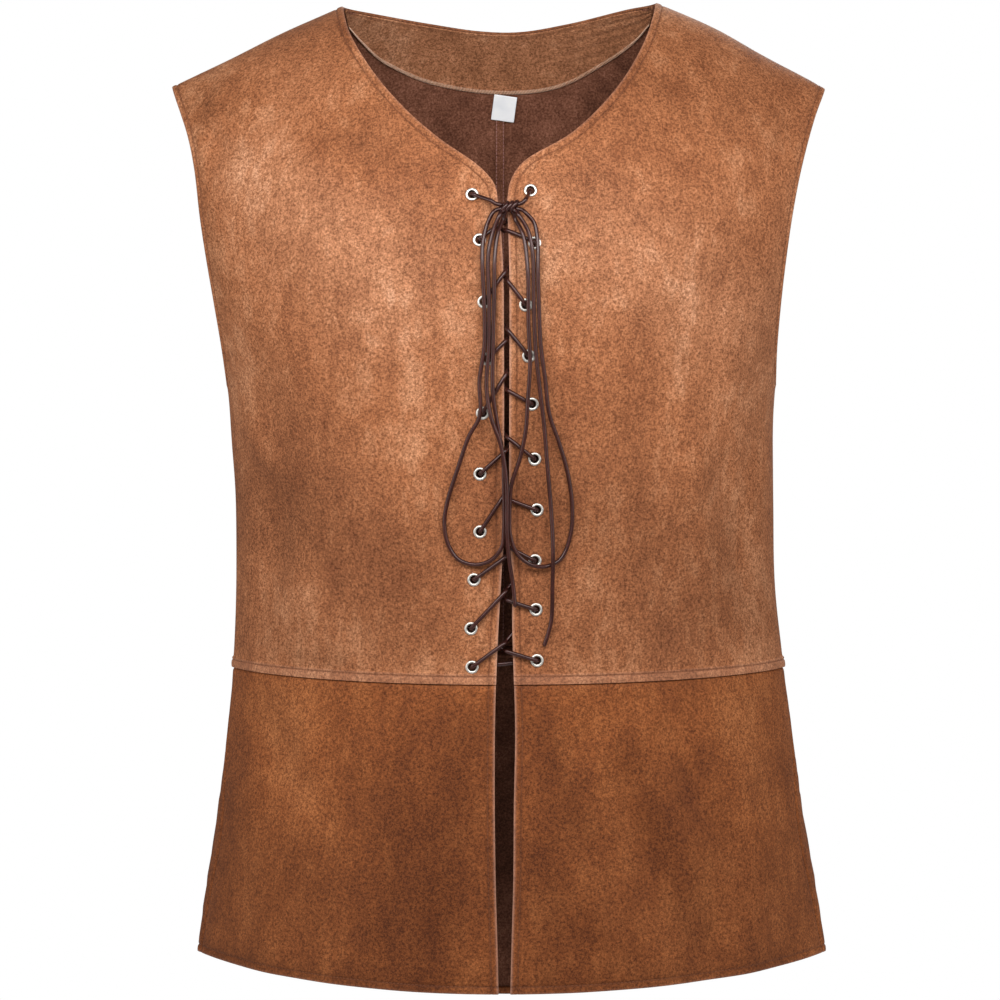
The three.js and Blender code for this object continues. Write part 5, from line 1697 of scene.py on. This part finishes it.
width, thread = OVERLOCK["width"], OVERLOCK["thread"]
path = (
    (0, width, -0.0001), (0.0002, width * 0.8, thread), (0.0006, width * 0.35, thread * 1.3),
    (0.0009, 0, thread), (0.0010, -thread * 1.5, -0.0002), (0.0010, -thread, -0.0006),
)
loops = np.stack([beside(*step) for step in path], axis=1)
out = beside(0.0005, 0, 1) - beside(0.0005, 0, 0)
sew("facing_overlocking", loops, out, thread, pale_thread, "suede_inside")

# ---------------------------------------------------------------- seam allowances and turnings
# Narrow strips of the pieces' own cloth that lie inside: open on both sides of each seam, and
# folded in behind each turned edge.

STRIP_THICKNESS = 0.0004
STRIP_GAP = 0.0004
STRIP_POINTS = 130
OVERCAST_THREAD = 0.00042
EVERY = slice(None)
WHOLE = (EVERY, EVERY)
# Steps across an allowance: how far from the seam, and how far off the cloth.
ALLOWANCE = ((0.0037, 0.0), (0.0034, 0.0003), (0.0022, 0.0006), (0.0010, 0.0005), (0.0003, 0.0))
# Steps across a turning: the share of its width, and how far off the cloth.
TURNED = ((0.12, 0.0), (0.5, 0.00025), (0.9, 0.0002), (1, 0.0))


def edge_strip(piece, edge, part, steps):
    """Lines inside a piece or a part of it, at such steps from one of its edges."""
    rows = panels[piece][part[0]][:, part[1]]
    if edge in ("top", "bottom"):
        rows = rows.transpose(1, 0, 2)
    if edge in ("top", "end"):
        rows = rows[:, ::-1]
    away = np.array([points_at(row, [distance for distance, _ in steps]) for row in rows])
    lines = []
    for k, (_, rise) in enumerate(steps):
        length = lengths_along(away[:, k, :3])[-1]
        line = points_at(away[:, k], np.linspace(0, length, STRIP_POINTS))
        depth = WALL + STRIP_GAP + STRIP_THICKNESS / 2 + rise
        lines.append(line[:, :3] - unit(line[:, 3:]) * depth)
    return lines


def inside_strip(name, lines, material):
    """A thin strip of cloth through the lines."""
    points = np.array(lines)
    rows, columns = points.shape[:2]
    faces = []
    for i in range(rows - 1):
        for j in range(columns - 1):
            k = i * columns + j
            faces.append((k, k + 1, k + columns + 1, k + columns))
    piece = new_mesh_piece(name, points.reshape(-1, 3), faces)
    thick = piece.modifiers.new("thickness", "SOLIDIFY")
    thick.thickness = STRIP_THICKNESS
    thick.offset = 0
    bpy.ops.object.select_all(action="DESELECT")
    bpy.context.view_layer.objects.active = piece
    bpy.ops.object.modifier_apply(modifier=thick.name)
    wear(piece, "suede", material)


def rows_between(piece, low, high, column):
    """All of the rows of a piece whose height in one column lies between two heights."""
    heights = panels[piece][:, column, 2]
    chosen = np.flatnonzero((heights >= low) & (heights <= high))
    return slice(chosen[0], chosen[-1] + 1), EVERY


half = panels["back_skirt"].shape[1] // 2
below_facing = rows_between("back_bodice_left", WAIST, LABEL["top"] - 0.002, 0)
beyond_neck = (EVERY, slice(NECK_COLUMN, None))
SEAMS = [(
    "centre_back",
    ("back_bodice_left", "start", below_facing), ("back_bodice_right", "start", below_facing),
)]
TURNINGS = [("back_hem", "back_skirt", "bottom", 0.0062, WHOLE)]
for side, skirt_side, skirt_front, half_skirt in (
    ("left", "start", "end", slice(half, None)),
    ("right", "end", "start", slice(half, None, -1)),
):
    front, back, skirt = f"front_bodice_{side}", f"back_bodice_{side}", f"front_skirt_{side}"
    underarm = rows_between(front, WAIST, UNDERARM, -1)
    over_arm = rows_between(front, UNDERARM, 1, -1)
    SEAMS += [
        (f"side_{side}", (front, "end", underarm), (back, "end", underarm)),
        (f"shoulder_{side}", (front, "top", WHOLE), (back, "top", beyond_neck)),
        (f"waist_front_{side}", (front, "bottom", WHOLE), (skirt, "top", WHOLE)),
        (f"waist_back_{side}", (back, "bottom", WHOLE), ("back_skirt", "top", (EVERY, half_skirt))),
        (f"skirt_side_{side}", (skirt, skirt_side, WHOLE), ("back_skirt", skirt_front, WHOLE)),
    ]
    TURNINGS += [
        (f"front_edge_{side}", front, "start", 0.0048, WHOLE),
        (f"front_armhole_{side}", front, "end", 0.0058, over_arm),
        (f"back_armhole_{side}", back, "end", 0.0058, over_arm),
        (f"skirt_edge_{side}", skirt, skirt_front, 0.0048, WHOLE),
        (f"front_hem_{side}", skirt, "bottom", 0.0062, WHOLE),
    ]
rose_thread = thread_finish("rose_thread", shade(132, 88, 80), shade(186, 138, 128))
for name, first, second in SEAMS:
    lines = edge_strip(*first, ALLOWANCE) + edge_strip(*second, ALLOWANCE)[::-1]
    inside_strip(f"{name}_allowance", lines, wrong_side)
    if name == "centre_back":
        towards_front = np.tile([0.0, -1.0, 0.0], (STRIP_POINTS, 1))
        raised = towards_front * STRIP_THICKNESS / 2
        overcast = [(lines[k] + raised, towards_front) for k in (2, -3)]
        sew_rows("centre_back_overcasting", overcast, OVERCAST_THREAD, rose_thread)
for name, piece, edge, width, part in TURNINGS:
    steps = [(width * share, rise) for share, rise in TURNED]
    material = skirt_suede if "skirt" in piece else bodice_suede
    inside_strip(f"{name}_turning", edge_strip(piece, edge, part, steps), material)

# ---------------------------------------------------------------- room and light
# A plain pale floor well below the hanging vest, white surroundings, and soft studio light from
# above the front with a weaker one from each side.

FLOOR_HEIGHT = -1.4

bpy.ops.object.select_all(action="DESELECT")
bpy.ops.mesh.primitive_plane_add(size=4.8, location=(0, 0, 0))
floor = bpy.context.object
floor.name = "floor"
floor.data.transform(Matrix.Translation((0, 0, FLOOR_HEIGHT)))
pale = Finish("pale_floor", Specular_IOR_Level=0.1)
floor_place = pale.node("ShaderNodeTexCoord", output=3)
floor.data.materials.append(pale.feed(Base_Color=pale.shades(
    pale.noise(floor_place, 3, 2), (0.3, shade(242, 242, 242)), (0.7, shade(247, 247, 247)))))

world = bpy.data.worlds.new("studio")
bpy.context.scene.world = world
world.use_nodes = True
sky = world.node_tree
seen, lit = sky.nodes["Background"], sky.nodes.new("ShaderNodeBackground")
for background, strength in ((seen, 1.0), (lit, 0.18)):
    background.inputs["Color"].default_value = (1, 1, 1, 1)
    background.inputs["Strength"].default_value = strength
ray = sky.nodes.new("ShaderNodeLightPath")
choose = sky.nodes.new("ShaderNodeMixShader")
sky.links.new(ray.outputs["Is Camera Ray"], choose.inputs[0])
sky.links.new(lit.outputs[0], choose.inputs[1])
sky.links.new(seen.outputs[0], choose.inputs[2])
sky.links.new(choose.outputs[0], sky.nodes["World Output"].inputs["Surface"])

LIGHTS = (
    ("key", (0.0, -0.95, 0.14), (0.0, -0.1, -0.16), 1.5, 0.4, 13),
    ("fill_left", (-1.95, -0.95, -0.12), (0.0, 0.0, -0.35), 1.2, 1.2, 12),
    ("fill_right", (1.95, -0.95, -0.02), (0.0, 0.0, -0.35), 1.2, 1.2, 10.5),
    ("behind", (0.5, 2.0, 0.5), (0.0, 0.0, -0.35), 1.6, 1.6, 32),
)
for name, place, aim, width, height, power in LIGHTS:
    towards = Vector(aim) - Vector(place)
    turn = towards.to_track_quat("-Z", "Y").to_euler()
    bpy.ops.object.light_add(type="AREA", location=place, rotation=turn)
    light = bpy.context.object
    light.name = name
    light.data.shape = "RECTANGLE"
    light.data.size = width
    light.data.size_y = height
    light.data.energy = power

bpy.context.scene.view_settings.view_transform = "Standard"
